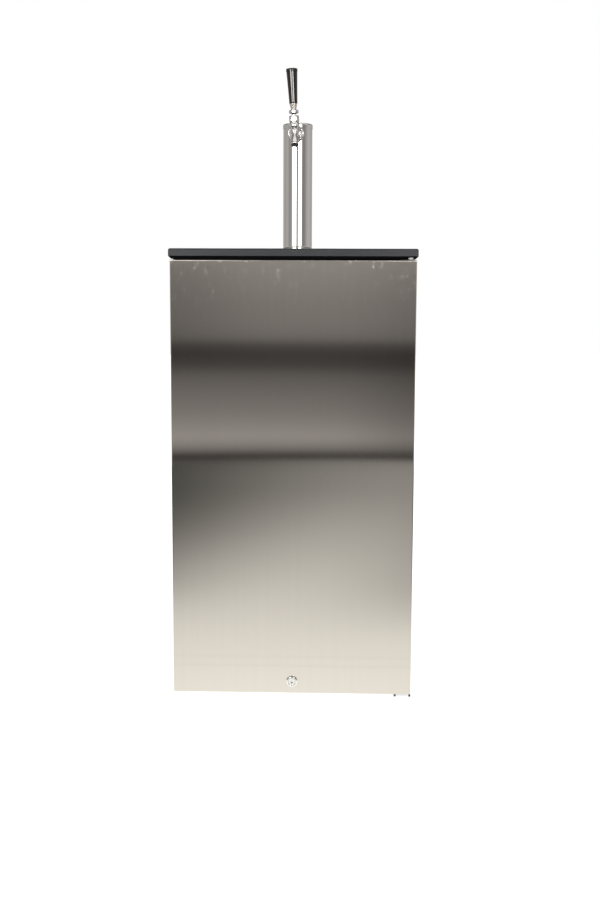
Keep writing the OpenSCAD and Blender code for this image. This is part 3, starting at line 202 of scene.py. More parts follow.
class FinishSettings(bpy.types.PropertyGroup):
    """Colours and gloss that a user would change."""

    steel: colour("Stainless", "Colour of the stainless sheet", (0.69, 0.655, 0.605))
    steel_gloss: share("Stainless roughness", "Roughness along the brush lines", 0.088)
    chrome: colour("Chrome", "Colour of the polished pieces", (0.775, 0.77, 0.755))
    chrome_gloss: share("Chrome roughness", "Roughness of the polished pieces", 0.05)
    buffed_gloss: share("Buffed roughness", "Roughness of the faucet's castings", 0.13)
    worktop: colour("Worktop", "Colour of the worktop", (0.018, 0.0205, 0.0235))
    handle: colour("Handle", "Colour of the tap handle", (0.006, 0.006, 0.006))
    paint: colour("Case paint", "Colour of the painted case", (0.022, 0.022, 0.024))
    liner: colour("Liner", "Colour of the moulded liner", (0.80, 0.80, 0.77))


class StudioSettings(bpy.types.PropertyGroup):
    """Camera, light and the surround that the metal mirrors."""

    lens: number("Lens", "Focal length", 50.0, "CAMERA")
    eye: bpy.props.FloatVectorProperty(
        name="Eye", description="Place of the camera", default=(0.1206, -3.3606, 1.0403), subtype="XYZ"
    )
    pitch: slant("Pitch", "Tilt of the view below level", 7.58)
    yaw: slant("Yaw", "Turn of the view to the left", 1.91)
    roll: slant("Roll", "Roll of the view", 0.2)
    radius: length("Surround radius", "Radius of the round studio wall", 4.46)
    height: length("Surround height", "Height of the round studio wall", 2.8)
    overhead: number("Overhead", "Level of the mirrored top lamp", 1.0)
    ambient: share("Ambient", "Level of the light from all sides", 0.55)
    lamp: number("Lamp", "Power of a soft lamp", 55.0, "POWER")


SETTINGS = {
    "keg_door": DoorSettings,
    "keg_handle": HandleSettings,
    "keg_tower": TowerSettings,
    "keg_case": CaseSettings,
    "keg_finish": FinishSettings,
    "keg_studio": StudioSettings,
}


# Surfaces


def grid_faces(rows, columns, closed_rows=False, closed_columns=False):
    """Quads between neighbours on a grid of points, wrapped round where a side is closed."""
    row = np.arange(rows if closed_rows else rows - 1)
    column = np.arange(columns if closed_columns else columns - 1)
    a, b = np.meshgrid(row, column, indexing="ij")
    a_next = (a + 1) % rows
    b_next = (b + 1) % columns
    corners = [a * columns + b, a * columns + b_next, a_next * columns + b_next, a_next * columns + b]
    return np.stack(corners, axis=-1).reshape(-1, 4)


def mesh_of(name, points, faces):
    """A mesh of an array of points and an array of quads."""
    mesh = bpy.data.meshes.new(name)
    mesh.from_pydata(points.reshape(-1, 3).tolist(), [], faces.tolist())
    return mesh


def flat_map(mesh, name, places):
    """Gives a mesh a flat map, from one place for each of its corners."""
    corner = np.empty(len(mesh.loops), np.int32)
    mesh.loops.foreach_get("vertex_index", corner)
    mesh.uv_layers.new(name=name).data.foreach_set("uv", places[corner].astype(np.float32).ravel())


def sealed(mesh, sharp=40, outward=True):
    """Closes seams and poles, points the faces outwards and shades all but the sharp edges smooth."""
    work = bmesh.new()
    work.from_mesh(mesh)
    bmesh.ops.remove_doubles(work, verts=work.verts, dist=1e-7)
    if outward:
        bmesh.ops.recalc_face_normals(work, faces=work.faces)
    work.to_mesh(mesh)
    work.free()
    mesh.shade_smooth()
    mesh.set_sharp_from_angle(angle=math.radians(sharp))
    return mesh


def rounded(corners, rounds, steps=6):
    """An outline whose corners are rounded.

    A corner P with neighbours A and B becomes the curve (1-s)^2 S + 2 s (1-s) P + s^2 E for s from 0 to 1,
    where S and E lie on PA and PB at the corner's round from P. A round of 0 keeps the corner.
    """
    corners = np.array(corners, float)
    s = np.linspace(0, 1, steps)[:, None]
    outline = []
    for i, size in enumerate(rounds):
        if size == 0:
            outline.append(corners[i : i + 1])
            continue
        to_last = corners[i - 1] - corners[i]
        to_next = corners[(i + 1) % len(corners)] - corners[i]
        start = corners[i] + size * to_last / np.linalg.norm(to_last)
        end = corners[i] + size * to_next / np.linalg.norm(to_next)
        outline.append((1 - s) ** 2 * start + 2 * s * (1 - s) * corners[i] + s**2 * end)
    return np.vstack(outline)


def turned(name, profile, axis, around=96, closed=False):
    """A turned surface.

    A profile point of radius r and height h goes to origin + r cos(a) across + r sin(a) side + h along,
    for the angle a once round. A closed profile makes a ring.
    """
    angle = np.linspace(0, 2 * np.pi, around, endpoint=False)
    spoke = np.outer(np.cos(angle), axis.across) + np.outer(np.sin(angle), axis.side)
    points = axis.origin + profile[:, None, :1] * spoke + profile[:, None, 1:] * axis.along
    return sealed(mesh_of(name, points, grid_faces(len(profile), around, closed, True)))


def border_of(x, z):
    """The rim of a grid, once round from the lower left, and the outward direction at each of its points.

    Along a side the direction is square to it. At a corner it is the sum of both sides' directions, so
    that an offset along it makes a mitre.
    """
    across = np.concatenate([x[:-1], np.full(len(z) - 1, x[-1]), x[:0:-1], np.full(len(z) - 1, x[0])])
    up = np.concatenate([np.full(len(x) - 1, z[0]), z[:-1], np.full(len(x) - 1, z[-1]), z[:0:-1]])
    out_across = np.where(across == x[-1], 1.0, 0.0) - np.where(across == x[0], 1.0, 0.0)
    out_up = np.where(up == z[-1], 1.0, 0.0) - np.where(up == z[0], 1.0, 0.0)
    return across, up, out_across, out_up


def carried(out, back, x, z, front):
    """Points of a profile carried round the rim of a grid, by its steps out from the rim and back."""
    rim_x, rim_z, out_x, out_z = border_of(x, z)
    depth = front + np.repeat(back[:, None], len(rim_x), axis=1)
    return np.stack([rim_x + np.outer(out, out_x), depth, rim_z + np.outer(out, out_z)], axis=-1)


def with_close_ends(places, step=0.3 * MM):
    """A row of places with one more a small step in from each end."""
    return np.concatenate([places[:1], [places[0] + step], places[1:-1], [places[-1] - step], places[-1:]])


def door_sheet(name, sizes):
    """The door's folded sheet: a front of slow waves, and a fold profile carried round its rim.

    The front is y = front + h w(u) w(v) (3 + sin(7x + 2z) + sin(9z - 3x) + sin(5x - 6z)) / 6, where
    w(t) = 1 - t^6 fades the waves out towards the rim. A close row along the rim keeps the fold's shading
    off the front. The profile turns a quarter round to the side, runs to the back and turns into the lip.
    """
    lo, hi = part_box("door_skin")
    fold = sizes.fold
    hem = sizes.hem
    x = with_close_ends(np.linspace(lo.x + fold, hi.x - fold, 91))
    z = with_close_ends(np.linspace(lo.z + fold, hi.z - fold, 151))
    across, up = np.meshgrid(x, z)
    u = 2 * (across - x[0]) / (x[-1] - x[0]) - 1
    v = 2 * (up - z[0]) / (z[-1] - z[0]) - 1
    fade = (1 - u**6) * (1 - v**6)
    swell = 3 + np.sin(7 * across + 2 * up) + np.sin(9 * up - 3 * across) + np.sin(5 * across - 6 * up)
    front = np.stack([across, lo.y + sizes.wave * fade * swell / 6, up], axis=-1)
    angle = np.linspace(0, np.pi / 2, 8)
    depth = hi.y - lo.y
    out = np.concatenate([fold * np.sin(angle), fold - hem * (1 - np.cos(angle)), [fold - sizes.lip]])
    back = np.concatenate([fold * (1 - np.cos(angle)), depth - hem * (1 - np.sin(angle)), [depth]])
    rim = carried(out, back, x, z, lo.y)
    rim_faces = grid_faces(*rim.shape[:2], closed_columns=True)[:, ::-1] + front.size // 3
    points = np.vstack([front.reshape(-1, 3), rim.reshape(-1, 3)])
    faces = np.vstack([grid_faces(len(z), len(x)), rim_faces])
    return sealed(mesh_of(name, points, faces), outward=False)


def gasket_bellows(name, sizes):
    """The door gasket: a folded profile carried round a rectangle with mitred corners.

    Across the strip the profile has a wide foot on the door, two folds in each side and a flat magnet face.
    """
    lo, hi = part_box("door_gasket")
    inner_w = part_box("inner_liner")[1].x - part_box("inner_liner")[0].x
    width = ((hi.x - lo.x) - inner_w) / 2 - 4 * MM
    deep = hi.y - lo.y
    half = width / 2
    fold = sizes.bellows
    right = np.array(
        [
            [half, 0.0],
            [half, 0.14 * deep],
            [half - 2.0 * fold, 0.26 * deep],
            [half - 0.8 * fold, 0.42 * deep],
            [half - 2.0 * fold, 0.58 * deep],
            [half - 0.6 * fold, 0.72 * deep],
            [half - 0.6 * fold, deep],
        ]
    )
    left = right[::-1] * [-1, 1]
    profile = rounded(np.vstack([right, left]), [0.4 * MM] * 14, 4)
    x = np.linspace(lo.x + half, hi.x - half, 41)
    z = np.linspace(lo.z + half, hi.z - half, 61)
    points = carried(profile[:, 0], profile[:, 1], x, z, lo.y)
    return sealed(mesh_of(name, points, grid_faces(*points.shape[:2], True, True)))


# Turned profiles of the tower and its handle


def handle_profile(sizes):
    """Outline of the tap handle, radius and height from the lever's pivot.

    Up to the band the radius is r0 + (r1 - r0) t^flare for t from 0 at the foot to 1 under the band.
    A groove, the plain band and a domed top follow.
    """
    radius, height = LEVER_AXIS.measure("tap_handle")
    foot = height.min()
    top = height.max()
    wide = radius.max()
    narrow = radius[(height < foot + 0.5 * MM)].max()
    band = top - sizes.band
    t = np.linspace(0, 1, 25)[1:]
    taper = narrow + (wide - sizes.groove - narrow) * t**sizes.flare
    grip = np.column_stack([taper, foot + t * (band - foot)])
    foot_edge = rounded([[0, foot], [narrow, foot], grip[0]], [0, 0.6 * MM, 0], 4)[:-1]
    shoulder = [
        [wide - sizes.groove, band],
        [wide - 1.6 * sizes.groove, band + 0.5 * MM],
        [wide, band + 1.3 * MM],
        [wide, top - sizes.crown],
        [0, top],
    ]
    head = rounded(shoulder, [0, 0.3 * MM, 0.3 * MM, sizes.edge, 0], 7)[1:]
    return np.vstack([foot_edge, grip, head])


def ferrule_profile(sizes):
    """Outline of the silver ferrule: a cone with a bead at its foot and a flat top under the handle."""
    radius, height = LEVER_AXIS.measure("handle_ferrule")
    foot = height.min()
    outer = radius.max()
    top = height[radius > outer - 0.05 * MM].max()
    narrow = radius[height < foot + 0.05 * MM].max()
    edge = sizes.edge
    corners = [
        [0, foot],
        [narrow, foot],
        [narrow, foot + 1.6 * MM],
        [narrow - 0.5 * MM, foot + 2.2 * MM],
        [outer, top],
        [0, top],
    ]
    return rounded(corners, [0, edge, edge, edge, edge, 0])


def collar_profile(sizes):
    """Outline of the lever collar: a cone, a broad ring and a bevel."""
    radius, height = LEVER_AXIS.measure("lever_collar")
    low = height.min()
    high = height.max()
    wide = radius.max()
    stem = radius.min()
    ring = height[radius > wide - 0.05 * MM]
    edge = 1.6 * sizes.edge
    corners = [
        [stem, low],
        [stem + 1.0 * MM, low],
        [wide, ring.min()],
        [wide, ring.max()],
        [wide - 1.8 * MM, high],
        [stem, high],
    ]
    return rounded(corners, [0, 0, edge, edge, edge, 0])


def column_profile(sizes):
    """Outline of the column: a plain tube between the flange and the cap, with broken edges."""
    radius, height = TOWER_AXIS.measure("tower_column")
    low = height.min()
    high = height.max()
    outer = radius.max()
    inner = radius[height > high - 0.1 * MM].min()
    edge = 0.5 * sizes.edge
    stretch = np.linspace(low, high, 41)[1:-1]
    wall = np.column_stack([np.full(len(stretch), outer), stretch])
    corners = np.vstack([[[inner, low], [outer, low]], wall, [[outer, high], [inner, high]]])
    return rounded(corners, [edge, edge] + [0] * len(wall) + [edge, edge], 3)


def cap_profile(sizes):
    """Outline of the cap: a thin skirt, a round edge and a top that falls a little towards it."""
    radius, height = TOWER_AXIS.measure("tower_cap")
    outer = radius.max()
    high = height.max()
    skirt = height[radius > outer - 0.1 * MM].min()
    inner = TOWER_AXIS.measure("tower_column")[0].max() + 0.05 * MM
    under = height[radius < 0.1 * MM].min() if (radius < 0.1 * MM).any() else high - 3 * MM
    edge = sizes.skirt_edge
    corners = [
        [0, under],
        [inner, under],
        [inner, skirt],
        [outer, skirt],
        [outer, high - sizes.cap_dome],
        [0, high],
    ]
    return rounded(corners, [0, 0, 0.3 * edge, edge, sizes.cap_edge, 0], 8)


# Finishes


class Shading:
    """A node tree that is laid out step by step."""

    def __init__(self, tree):
        self.tree = tree

    def put(self, socket, value):
        """Links a source to a socket, or gives the socket a plain value."""
        if isinstance(value, bpy.types.NodeSocket):
            self.tree.links.new(value, socket)
        else:
            socket.default_value = value

    def node(self, kind, inputs=None, **options):
        """A new node of a kind, with its options, and its inputs by name or number."""
        node = self.tree.nodes.new(kind)
        for option, value in options.items():
            setattr(node, option, value)
        for name, value in (inputs or {}).items():
            self.put(node.inputs[name], value)
        return node

    def spread(self, source, low, high, to_low, to_high):
        """Takes a pattern from one range to another, with soft ends."""
        inputs = {"Value": source, "From Min": low, "From Max": high, "To Min": to_low, "To Max": to_high}
        return self.node("ShaderNodeMapRange", inputs, interpolation_type="SMOOTHSTEP").outputs["Result"]

    def sums(self, operation, first, second=0.0):
        """A sum of one or two patterns or numbers."""
        return self.node("ShaderNodeMath", {0: first, 1: second}, operation=operation).outputs["Value"]

    def times(self, first, second):
        """Product of two patterns, or of a pattern and a number."""
        return self.sums("MULTIPLY", first, second)


class Finish(Shading):
    """One procedural material, laid out around its shader."""

    def __init__(self, name, tone, metallic, roughness):
        self.material = bpy.data.materials.new(name)
        self.material.use_nodes = True
        super().__init__(self.material.node_tree)
        self.tone = tuple(tone)
        self.shader = self.tree.nodes["Principled BSDF"]
        self.place = self.node("ShaderNodeTexCoord").outputs["Object"]
        self.set("Base Color", opaque(self.tone))
        self.set("Metallic", metallic)
        self.set("Roughness", roughness)

    def set(self, socket, value):
        """Gives one of the shader's sockets a value, or lets a pattern drive it."""
        self.put(self.shader.inputs[socket], value)

    def shows(self, shader):
        """Shows another shader in place of the first one."""
        self.put(self.tree.nodes["Material Output"].inputs["Surface"], shader)

    def glow(self, inputs):
        """An emission with some of its inputs given."""
        return self.node("ShaderNodeEmission", inputs).outputs["Emission"]

    def axes(self):
        """Place on the object in metres, as one source for each axis."""
        return self.node("ShaderNodeSeparateXYZ", {"Vector": self.place}).outputs

    def at(self, stretch):
        """Place on the object times a number of repeats for each metre, for each axis or for all three."""
        repeats = np.broadcast_to(stretch, 3).tolist()
        return self.node("ShaderNodeMapping", {"Vector": self.place, "Scale": repeats}).outputs["Vector"]

    def noise(self, stretch, detail=3.0, rough=0.5):
        """Cloudy pattern from 0 to 1."""
        inputs = {"Vector": self.at(stretch), "Scale": 1.0, "Detail": detail, "Roughness": rough}
        return self.node("ShaderNodeTexNoise", inputs).outputs["Fac"]

    def cells(self, stretch, output="Distance"):
        """Pattern of the distance to the middles of cells, or of the cells' own colours."""
        return self.node("ShaderNodeTexVoronoi", {"Vector": self.at(stretch), "Scale": 1.0}).outputs[output]

    def blend(self, factor, first, second):
        """Colour between two colours, by a pattern."""
        inputs = {"Factor": factor, 6: opaque(first), 7: opaque(second)}
        return self.node("ShaderNodeMix", inputs, data_type="RGBA").outputs[2]

    def scaled(self, tone, factor):
        """A colour made lighter or darker by a pattern."""
        node = self.node("ShaderNodeVectorMath", {0: tone, "Scale": factor}, operation="SCALE")
        return node.outputs["Vector"]

    def tinted(self, tone, tint):
        """A colour multiplied by another."""
        node = self.node("ShaderNodeVectorMath", {0: tone, 1: tint}, operation="MULTIPLY")
        return node.outputs["Vector"]

    def toned(self, pattern, dark, light):
        """Lets a pattern vary the colour between two shares of the tone."""
        self.set("Base Color", self.blend(pattern, shade(self.tone, dark), shade(self.tone, light)))

    def roughened(self, pattern, smooth, rough, low=0.3, high=0.7):
        """Lets a pattern vary the roughness between two values."""
        self.set("Roughness", self.spread(pattern, low, high, smooth, rough))

    def clouded(self, pattern, tones, roughness):
        """Lets one pattern vary both the colour and the roughness."""
        self.toned(pattern, *tones)
        self.roughened(pattern, *roughness)

    def relief(self, pattern, depth):
        """Bump of a pattern whose full height is a depth in metres."""
        bump = self.node("ShaderNodeBump", {"Strength": 1.0, "Distance": depth, "Height": pattern})
        self.set("Normal", bump.outputs["Normal"])


def opaque(tone):
    """A plain colour with full cover. A source stays as it is."""
    return (*tone, 1.0) if isinstance(tone, tuple) else tone


def grey(level):
    """A grey of one level."""
    return (level, level, level)


def shade(tone, factor):
    """A colour made lighter or darker."""
    return tuple(min(1.0, channel * factor) for channel in tone)


# Name of the door's flat map, the heights between which the dust on it grows in metres, and the dust's tone
DOOR_UV = "sheet"
DUST_RISE = (0.90, 1.07)
DUST = (0.82, 0.81, 0.79)


def door_steel(name, looks):
    """Stainless sheet brushed upright: fine lines, faint streaks, dusty marks along the top."""
    gloss = looks.steel_gloss
    made = Finish(name, looks.steel, 1.0, gloss)
    lines = made.noise((900, 900, 4), 2.0)
    streaks = made.spread(made.noise((70, 70, 1.1)), 0.3, 0.7, 0.0, 1.0)
    wiped = made.spread(made.noise((70, 70, 45), 5.0, 0.65), 0.53, 0.76, 0.0, 1.0)
    smudge = made.times(wiped, made.spread(made.axes()["Z"], *DUST_RISE, 0.0, 1.0))
    tint = made.blend(streaks, shade(made.tone, 0.994), shade(made.tone, 1.006))
    made.set("Base Color", made.blend(made.times(smudge, 0.5), tint, DUST))
    grain = made.spread(lines, 0.25, 0.75, gloss - 0.006, gloss + 0.006)
    made.set("Roughness", made.sums("ADD", grain, made.times(smudge, 0.11)))
    made.set("Anisotropic", 0.95)
    tangent = made.node("ShaderNodeTangent", direction_type="UV_MAP", uv_map=DOOR_UV)
    made.set("Tangent", tangent.outputs["Tangent"])
    made.relief(lines, 0.4e-6)
    return made.material


def satin_steel(name, looks):
    """Stainless of the small pieces: satin, with short brush marks and a few dull spots."""
    made = Finish(name, looks.steel, 1.0, 0.28)
    lines = made.noise((1400, 160, 160), 2.0)
    made.toned(made.noise(45, 4.0), 0.94, 1.04)
    made.roughened(lines, 0.22, 0.36, 0.25, 0.75)
    made.relief(lines, 2e-6)
    return made.material


def plated(name, looks, gloss):
    """Chrome plate of a given roughness, with faint wiping marks."""
    made = Finish(name, looks.chrome, 1.0, gloss)
    made.clouded(made.noise((60, 60, 22), 4.0, 0.6), (0.97, 1.02), (gloss - 0.01, gloss + 0.03, 0.45, 0.75))
    made.relief(made.noise((700, 700, 90), 2.0), 0.3e-6)
    return made.material


def polished_chrome(name, looks):
    """Clear mirror of the column, the cap and the lock."""
    return plated(name, looks, looks.chrome_gloss)


def buffed_chrome(name, looks):
    """Softer shine of the faucet's castings."""
    return plated(name, looks, looks.buffed_gloss)


def worktop_laminate(name, looks):
    """Dark moulded worktop with a fine pebble and faint clouds."""
    made = Finish(name, looks.worktop, 0.0, 0.36)
    made.clouded(made.noise(9, 4.0), (0.93, 1.08), (0.33, 0.39))
    made.relief(made.cells(1100), 12e-6)
    return made.material


def underside_shade_finish(name, looks):
    """Painted shade on the worktop's underside and chamfer: a near-black copy of the worktop's tone, matt
    and with weak gloss.
    """
    made = Finish(name, shade(looks.worktop, 0.12), 0.0, 0.85)
    grain = made.noise(400)
    made.clouded(grain, (0.7, 1.4), (0.78, 0.92))
    made.set("Specular IOR Level", 0.05)
    made.relief(grain, 30e-6)
    return made.material


def handle_gloss(name, looks):
    """Black gloss handle with faint hand marks."""
    made = Finish(name, looks.handle, 0.0, 0.12)
    made.clouded(made.noise((120, 120, 45), 4.0, 0.6), (0.8, 1.6), (0.11, 0.17, 0.35, 0.7))
    made.set("IOR", 1.6)
    made.relief(made.noise(900, 2.0), 1.5e-6)
    return made.material


def case_enamel(name, looks):
    """Satin black powder paint: a fine orange peel and faint clouds."""
    made = Finish(name, looks.paint, 0.0, 0.42)
    made.clouded(made.noise(5, 4.0), (0.92, 1.1), (0.41, 0.45))
    made.relief(made.noise(650, 2.0), 14e-6)
    return made.material


def zinc_plate(name, looks):
    """Bright zinc with flat spangles of slightly different tone."""
    made = Finish(name, (0.62, 0.625, 0.61), 1.0, 0.34)
    spangle = made.node("ShaderNodeSeparateColor", {"Color": made.cells(160, "Color")}).outputs
    made.toned(spangle["Red"], 0.82, 1.12)
    made.roughened(spangle["Green"], 0.27, 0.46, 0.0, 1.0)
    made.relief(made.noise(500), 5e-6)
    return made.material


def keyhole_painted_shade(name, looks):
    """Painted shade inside the keyhole: near-black, dull and rough, with faint clouds."""
    made = Finish(name, (0.02, 0.02, 0.019), 0.0, 0.8)
    shade_cloud = made.noise(900)
    made.clouded(shade_cloud, (0.6, 1.6), (0.7, 0.9))
    made.relief(shade_cloud, 10e-6)
    return made.material


def moulded_white(name, looks):
    """White moulded plastic: even gloss with a shallow mould texture."""
    made = Finish(name, looks.liner, 0.0, 0.3)
    made.clouded(made.noise(6), (0.985, 1.01), (0.30, 0.34))
    made.relief(made.noise(420, 2.0), 8e-6)
    return made.material


def rigid_foam(name, looks):
    """Cream rigid foam: small cells and darker skin patches."""
    made = Finish(name, (0.72, 0.60, 0.36), 0.0, 0.9)
    made.clouded(made.noise(25, 4.0), (0.8, 1.12), (0.82, 0.98))
    made.relief(made.cells(650), 250e-6)
    return made.material


def rubber(name, looks):
    """Matt black rubber with a bloom of paler dust."""
    made = Finish(name, grey(0.018), 0.0, 0.75)
    made.clouded(made.noise(60, 4.0, 0.6), (0.8, 2.0), (0.65, 0.85))
    made.relief(made.noise(900, 2.0), 12e-6)
    return made.material


def gasket_vinyl(name, looks):
    """Dark grey soft vinyl with a dull sheen along its folds."""
    made = Finish(name, (0.06, 0.06, 0.065), 0.0, 0.5)
    made.clouded(made.noise(40, 4.0), (0.8, 1.4), (0.42, 0.6))
    made.relief(made.noise(700, 2.0), 8e-6)
    return made.material


def rolled_aluminium(name, looks):
    """Dull rolled aluminium with fine lines and a faint oxide cloud."""
    made = Finish(name, (0.72, 0.73, 0.74), 1.0, 0.38)
    made.clouded(made.noise(18, 4.0), (0.84, 1.06), (0.32, 0.5))
    made.relief(made.noise((30, 900, 900), 2.0), 5e-6)
    return made.material


def moulded_plastic(name, tone):
    """Grained moulded plastic in a plain tone."""
    made = Finish(name, tone, 0.0, 0.5)
    made.clouded(made.noise(30, 4.0), (0.85, 1.2), (0.44, 0.58))
    made.relief(made.cells(1300), 25e-6)
    return made.material


def dark_plastic(name, looks):
    """Near-black grained plastic."""
    return moulded_plastic(name, (0.03, 0.03, 0.032))


def grey_plastic(name, looks):
    """Mid-grey grained plastic."""
    return moulded_plastic(name, (0.2, 0.205, 0.21))


FINISHES = {
    "case_paint": case_enamel,
    "zinc": zinc_plate,
    "stainless": satin_steel,
    "chrome": polished_chrome,
    "buffed_chrome": buffed_chrome,
    "worktop": worktop_laminate,
    "white_plastic": moulded_white,
    "foam": rigid_foam,
    "rubber": rubber,
    "gasket": gasket_vinyl,
    "aluminium": rolled_aluminium,
    "dark_plastic": dark_plastic,
    "grey_plastic": grey_plastic,
    "handle_plastic": handle_gloss,
}


def finish_for(slot):
    """The material of a slot, made when it is first asked for."""
    name = slot + "_finish"
    known = bpy.data.materials.get(name)
    return known or FINISHES[slot](name, bpy.context.scene.keg_finish)


# Pieces


def add_piece(mesh, material, *nodes):
    """Shows a mesh in place of CAD nodes, on the body that carries them."""
    mesh.materials.clear()
    mesh.materials.append(material)
    piece = bpy.data.objects.new(mesh.name, mesh)
    bpy.context.scene.collection.objects.link(piece)
    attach(piece, NODES[nodes[0]]["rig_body"])
    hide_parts(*nodes)
    return piece


def turned_piece(node, profile, axis, closed=False, finish=None):
    """Shows a turned surface in place of a node."""
    mesh = turned(node + "_turned", profile, axis, closed=closed)
    return add_piece(mesh, finish_for(finish or SLOT_OF[node]), node)


# Corners closer than this in metres are joined, faces flatter than this are made whole, and edges sharper
# than this are rounded
MERGE_DISTANCE = 2e-6
FLAT_ANGLE = math.radians(0.5)
SHARP_ANGLE = math.radians(32)


def merged_copy(node, name):
    """A copy of a node's loose triangles, joined at their corners and with flat faces made whole."""
    mesh = NODES[node].data.copy()
    mesh.name = name
    work = bmesh.new()
    work.from_mesh(mesh)
    bmesh.ops.remove_doubles(work, verts=work.verts, dist=MERGE_DISTANCE)
    bmesh.ops.dissolve_limit(
        work,
        angle_limit=FLAT_ANGLE,
        use_dissolve_boundaries=False,
        verts=work.verts,
        edges=work.edges,
    )
    work.to_mesh(mesh)
    work.free()
    mesh.shade_smooth()
    return mesh


def softened(node, edge, segments=2, finish=None):
    """Shows a node as a merged copy with a small round on every sharp edge.

    Normals weighted by area keep its large faces flat.
    """
    mesh = merged_copy(node, node + "_soft")
    piece = add_piece(mesh, finish_for(finish or SLOT_OF[node]), node)
    bevel = piece.modifiers.new("edge", "BEVEL")
    bevel.width = edge
    bevel.segments = segments
    bevel.limit_method = "ANGLE"
    bevel.angle_limit = SHARP_ANGLE
    bevel.use_clamp_overlap = False
    flat = piece.modifiers.new("flat", "WEIGHTED_NORMAL")
    flat.weight = 100
    return piece


def dressed(node):
    """Shows a node as it is, in its finish."""
    mesh = NODES[node].data
    mesh.materials.clear()
    mesh.materials.append(finish_for(SLOT_OF[node]))


# Studio


# Tints of the wall and the floor that the metal mirrors
WARMTH = (1.045, 1.0, 0.972)
FLOOR_TINT = (1.01, 1.0, 0.957)
# Levels that the upright metal mirrors, by degrees round from the camera. LAMP stands for a soft lamp.
# They were set by comparing the column with the photo across its width.
LAMP = 2.0
UPPER_TONES = (
    (-180, 0.45), (-140, 0.48), (-121, 0.41), (-106, 0.41), (-93, 0.46), (-82, 0.45), (-72, 0.36),
    (-62.5, 0.30), (-56, 0.32), (-44, 0.42), (-37.5, LAMP), (-7.5, LAMP), (-6, 0.12), (3.5, 0.12),
    (5, LAMP), (32, LAMP), (37, 0.30), (41, 0.245), (49, 0.25), (57, 0.258), (66, 0.33), (75, 0.41),
    (85, 0.475), (95, 0.51), (106, 0.515), (119, 0.47), (134, 0.42), (180, 0.45),
)
# Levels that the door mirrors, by height on the wall in metres. Several were worked out from the photo's
# brightness down the middle of the door.
LOWER_TONES = (
    (0.0, 0.0), (0.05, 0.0), (0.095, 0.27), (0.157, 0.40), (0.228, 0.32), (0.30, 0.256), (0.37, 0.219),
    (0.44, 0.181), (0.513, 0.141), (0.57, 0.07), (0.64, 0.05), (0.69, 0.09), (0.73, 0.21), (0.80, 0.242),
    (0.94, 0.27), (1.06, 0.31), (1.17, 0.34),
)
# Level of the wall beside the door's view, and between which degrees it takes over
SIDE_TONE = 0.5
SIDES = (20, 30)
# Share of the lower levels that is left to the right of the middle, and high up on both sides of it
FLANK_TONE = 0.6
FLANK_MIDDLE = -1.0
RIGHT_FLANK = (1, 8)
BOTH_FLANKS = (2, 12)
FLANK_RISE = (0.55, 0.70)
# Top edge of the skirting in metres, and its levels between two angles in degrees
SKIRTING_TOP = (0.024, 0.03)
SKIRTING_TONES = (-10, 6, 0.11, 0.31)
# Where the wall's lamps begin, and between which levels they are brighter, in metres above the floor
LAMP_FOOT = (1.195, 1.24)
LAMP_HEAD = (1.58, 1.70, 2.1, 2.3)
HEAD_GAIN = 9.0
# Where the brighter core of each lamp begins, is full and ends, in degrees round from the camera
LEFT_CORE = (-35, -29, -15, -10)
RIGHT_CORE = (8, 12, 24, 29)
# Grey card between the lamps that the coupling mirrors, by degrees and by metres
CARD_SPAN = (-18, -15, 4, 7)
CARD_RISE = (1.83, 1.86, 1.95, 1.99)
CARD_TONE = 0.5
# Front and back borders of the ceiling's lamp in metres, and the levels outside them
CEILING_FRONT = (-2.2, -1.9)
FRONT_TONE = 0.28
CEILING_BACK = (-0.5, -0.3)
BACK_TONE = 0.24
# Mirrored floor: level at the middle, distance in metres at which half is left, and power of the fall
FLOOR_LEVEL = 1.23
FLOOR_HALF = 2.12
FLOOR_POWER = 1.6
# Gain towards the wall, between two distances
FAR_GAIN = (3.4, 4.2, 1.0, 1.12)
# The brightest line across it leans to the right with the distance, and its fall to the sides changes
RIDGE_LEAN = 0.2
RIDGE_START = 0.33
SIDE_FALL = (0.75, 1.6, 0.0, -1.65)
FAR_SIDE_FALL = (2.2, 4.6, 1.0, 0.4)
# Seams of the mirrored floor, in metres ahead of the middle, and how much they darken it
SEAMS = ((0.555, 0.567, 0.573, 0.585), (0.64, 0.65, 0.656, 0.668))
SEAM_DEPTH = -0.045
# Glow of the floor that makes it white to the camera
FLOOR_GLOW = 0.78
# Soft lamps: degrees round from the camera, width and height, level and tilt
SOFT_LAMPS = {"lamp_left": -35, "lamp_right": 30}
LAMP_SIZE = (1.8, 1.4)
LAMP_LEVEL = 2.1
LAMP_TILT = 74
# Width of the camera's sensor in millimetres
SENSOR_WIDTH = 36.0


def ramp_of(made, source, stops, span):
    """Greys at places along a span, read by a source that runs from 0 to 1 along it."""
    ramp = made.node("ShaderNodeValToRGB", {"Fac": source})
    low, high = span
    elements = ramp.color_ramp.elements
    for place, level in stops[2:]:
        elements.new((place - low) / (high - low))
    for element, (place, level) in zip(elements, sorted(stops)):
        element.position = (place - low) / (high - low)
        element.color = opaque(grey(level))
    return ramp.outputs["Color"]


def flank_fade(made, angle, height):
    """Share of the wall's tone that is left beside its middle.

    It falls only to the right low down, and to both sides high up.
    """
    right = made.spread(angle, *RIGHT_FLANK, 1.0, FLANK_TONE)
    aside = made.sums("ABSOLUTE", made.sums("SUBTRACT", angle, FLANK_MIDDLE))
    both = made.spread(aside, *BOTH_FLANKS, 1.0, FLANK_TONE)
    high = made.spread(height, *FLANK_RISE, 0.0, 1.0)
    return made.sums("ADD", right, made.times(high, made.sums("SUBTRACT", both, right)))


def inside(made, place, borders):
    """1 between two places and 0 outside them, with soft borders."""
    start, full, fade, end = borders
    rising = made.spread(place, start, full, 0.0, 1.0)
    return made.times(rising, made.spread(place, fade, end, 1.0, 0.0))


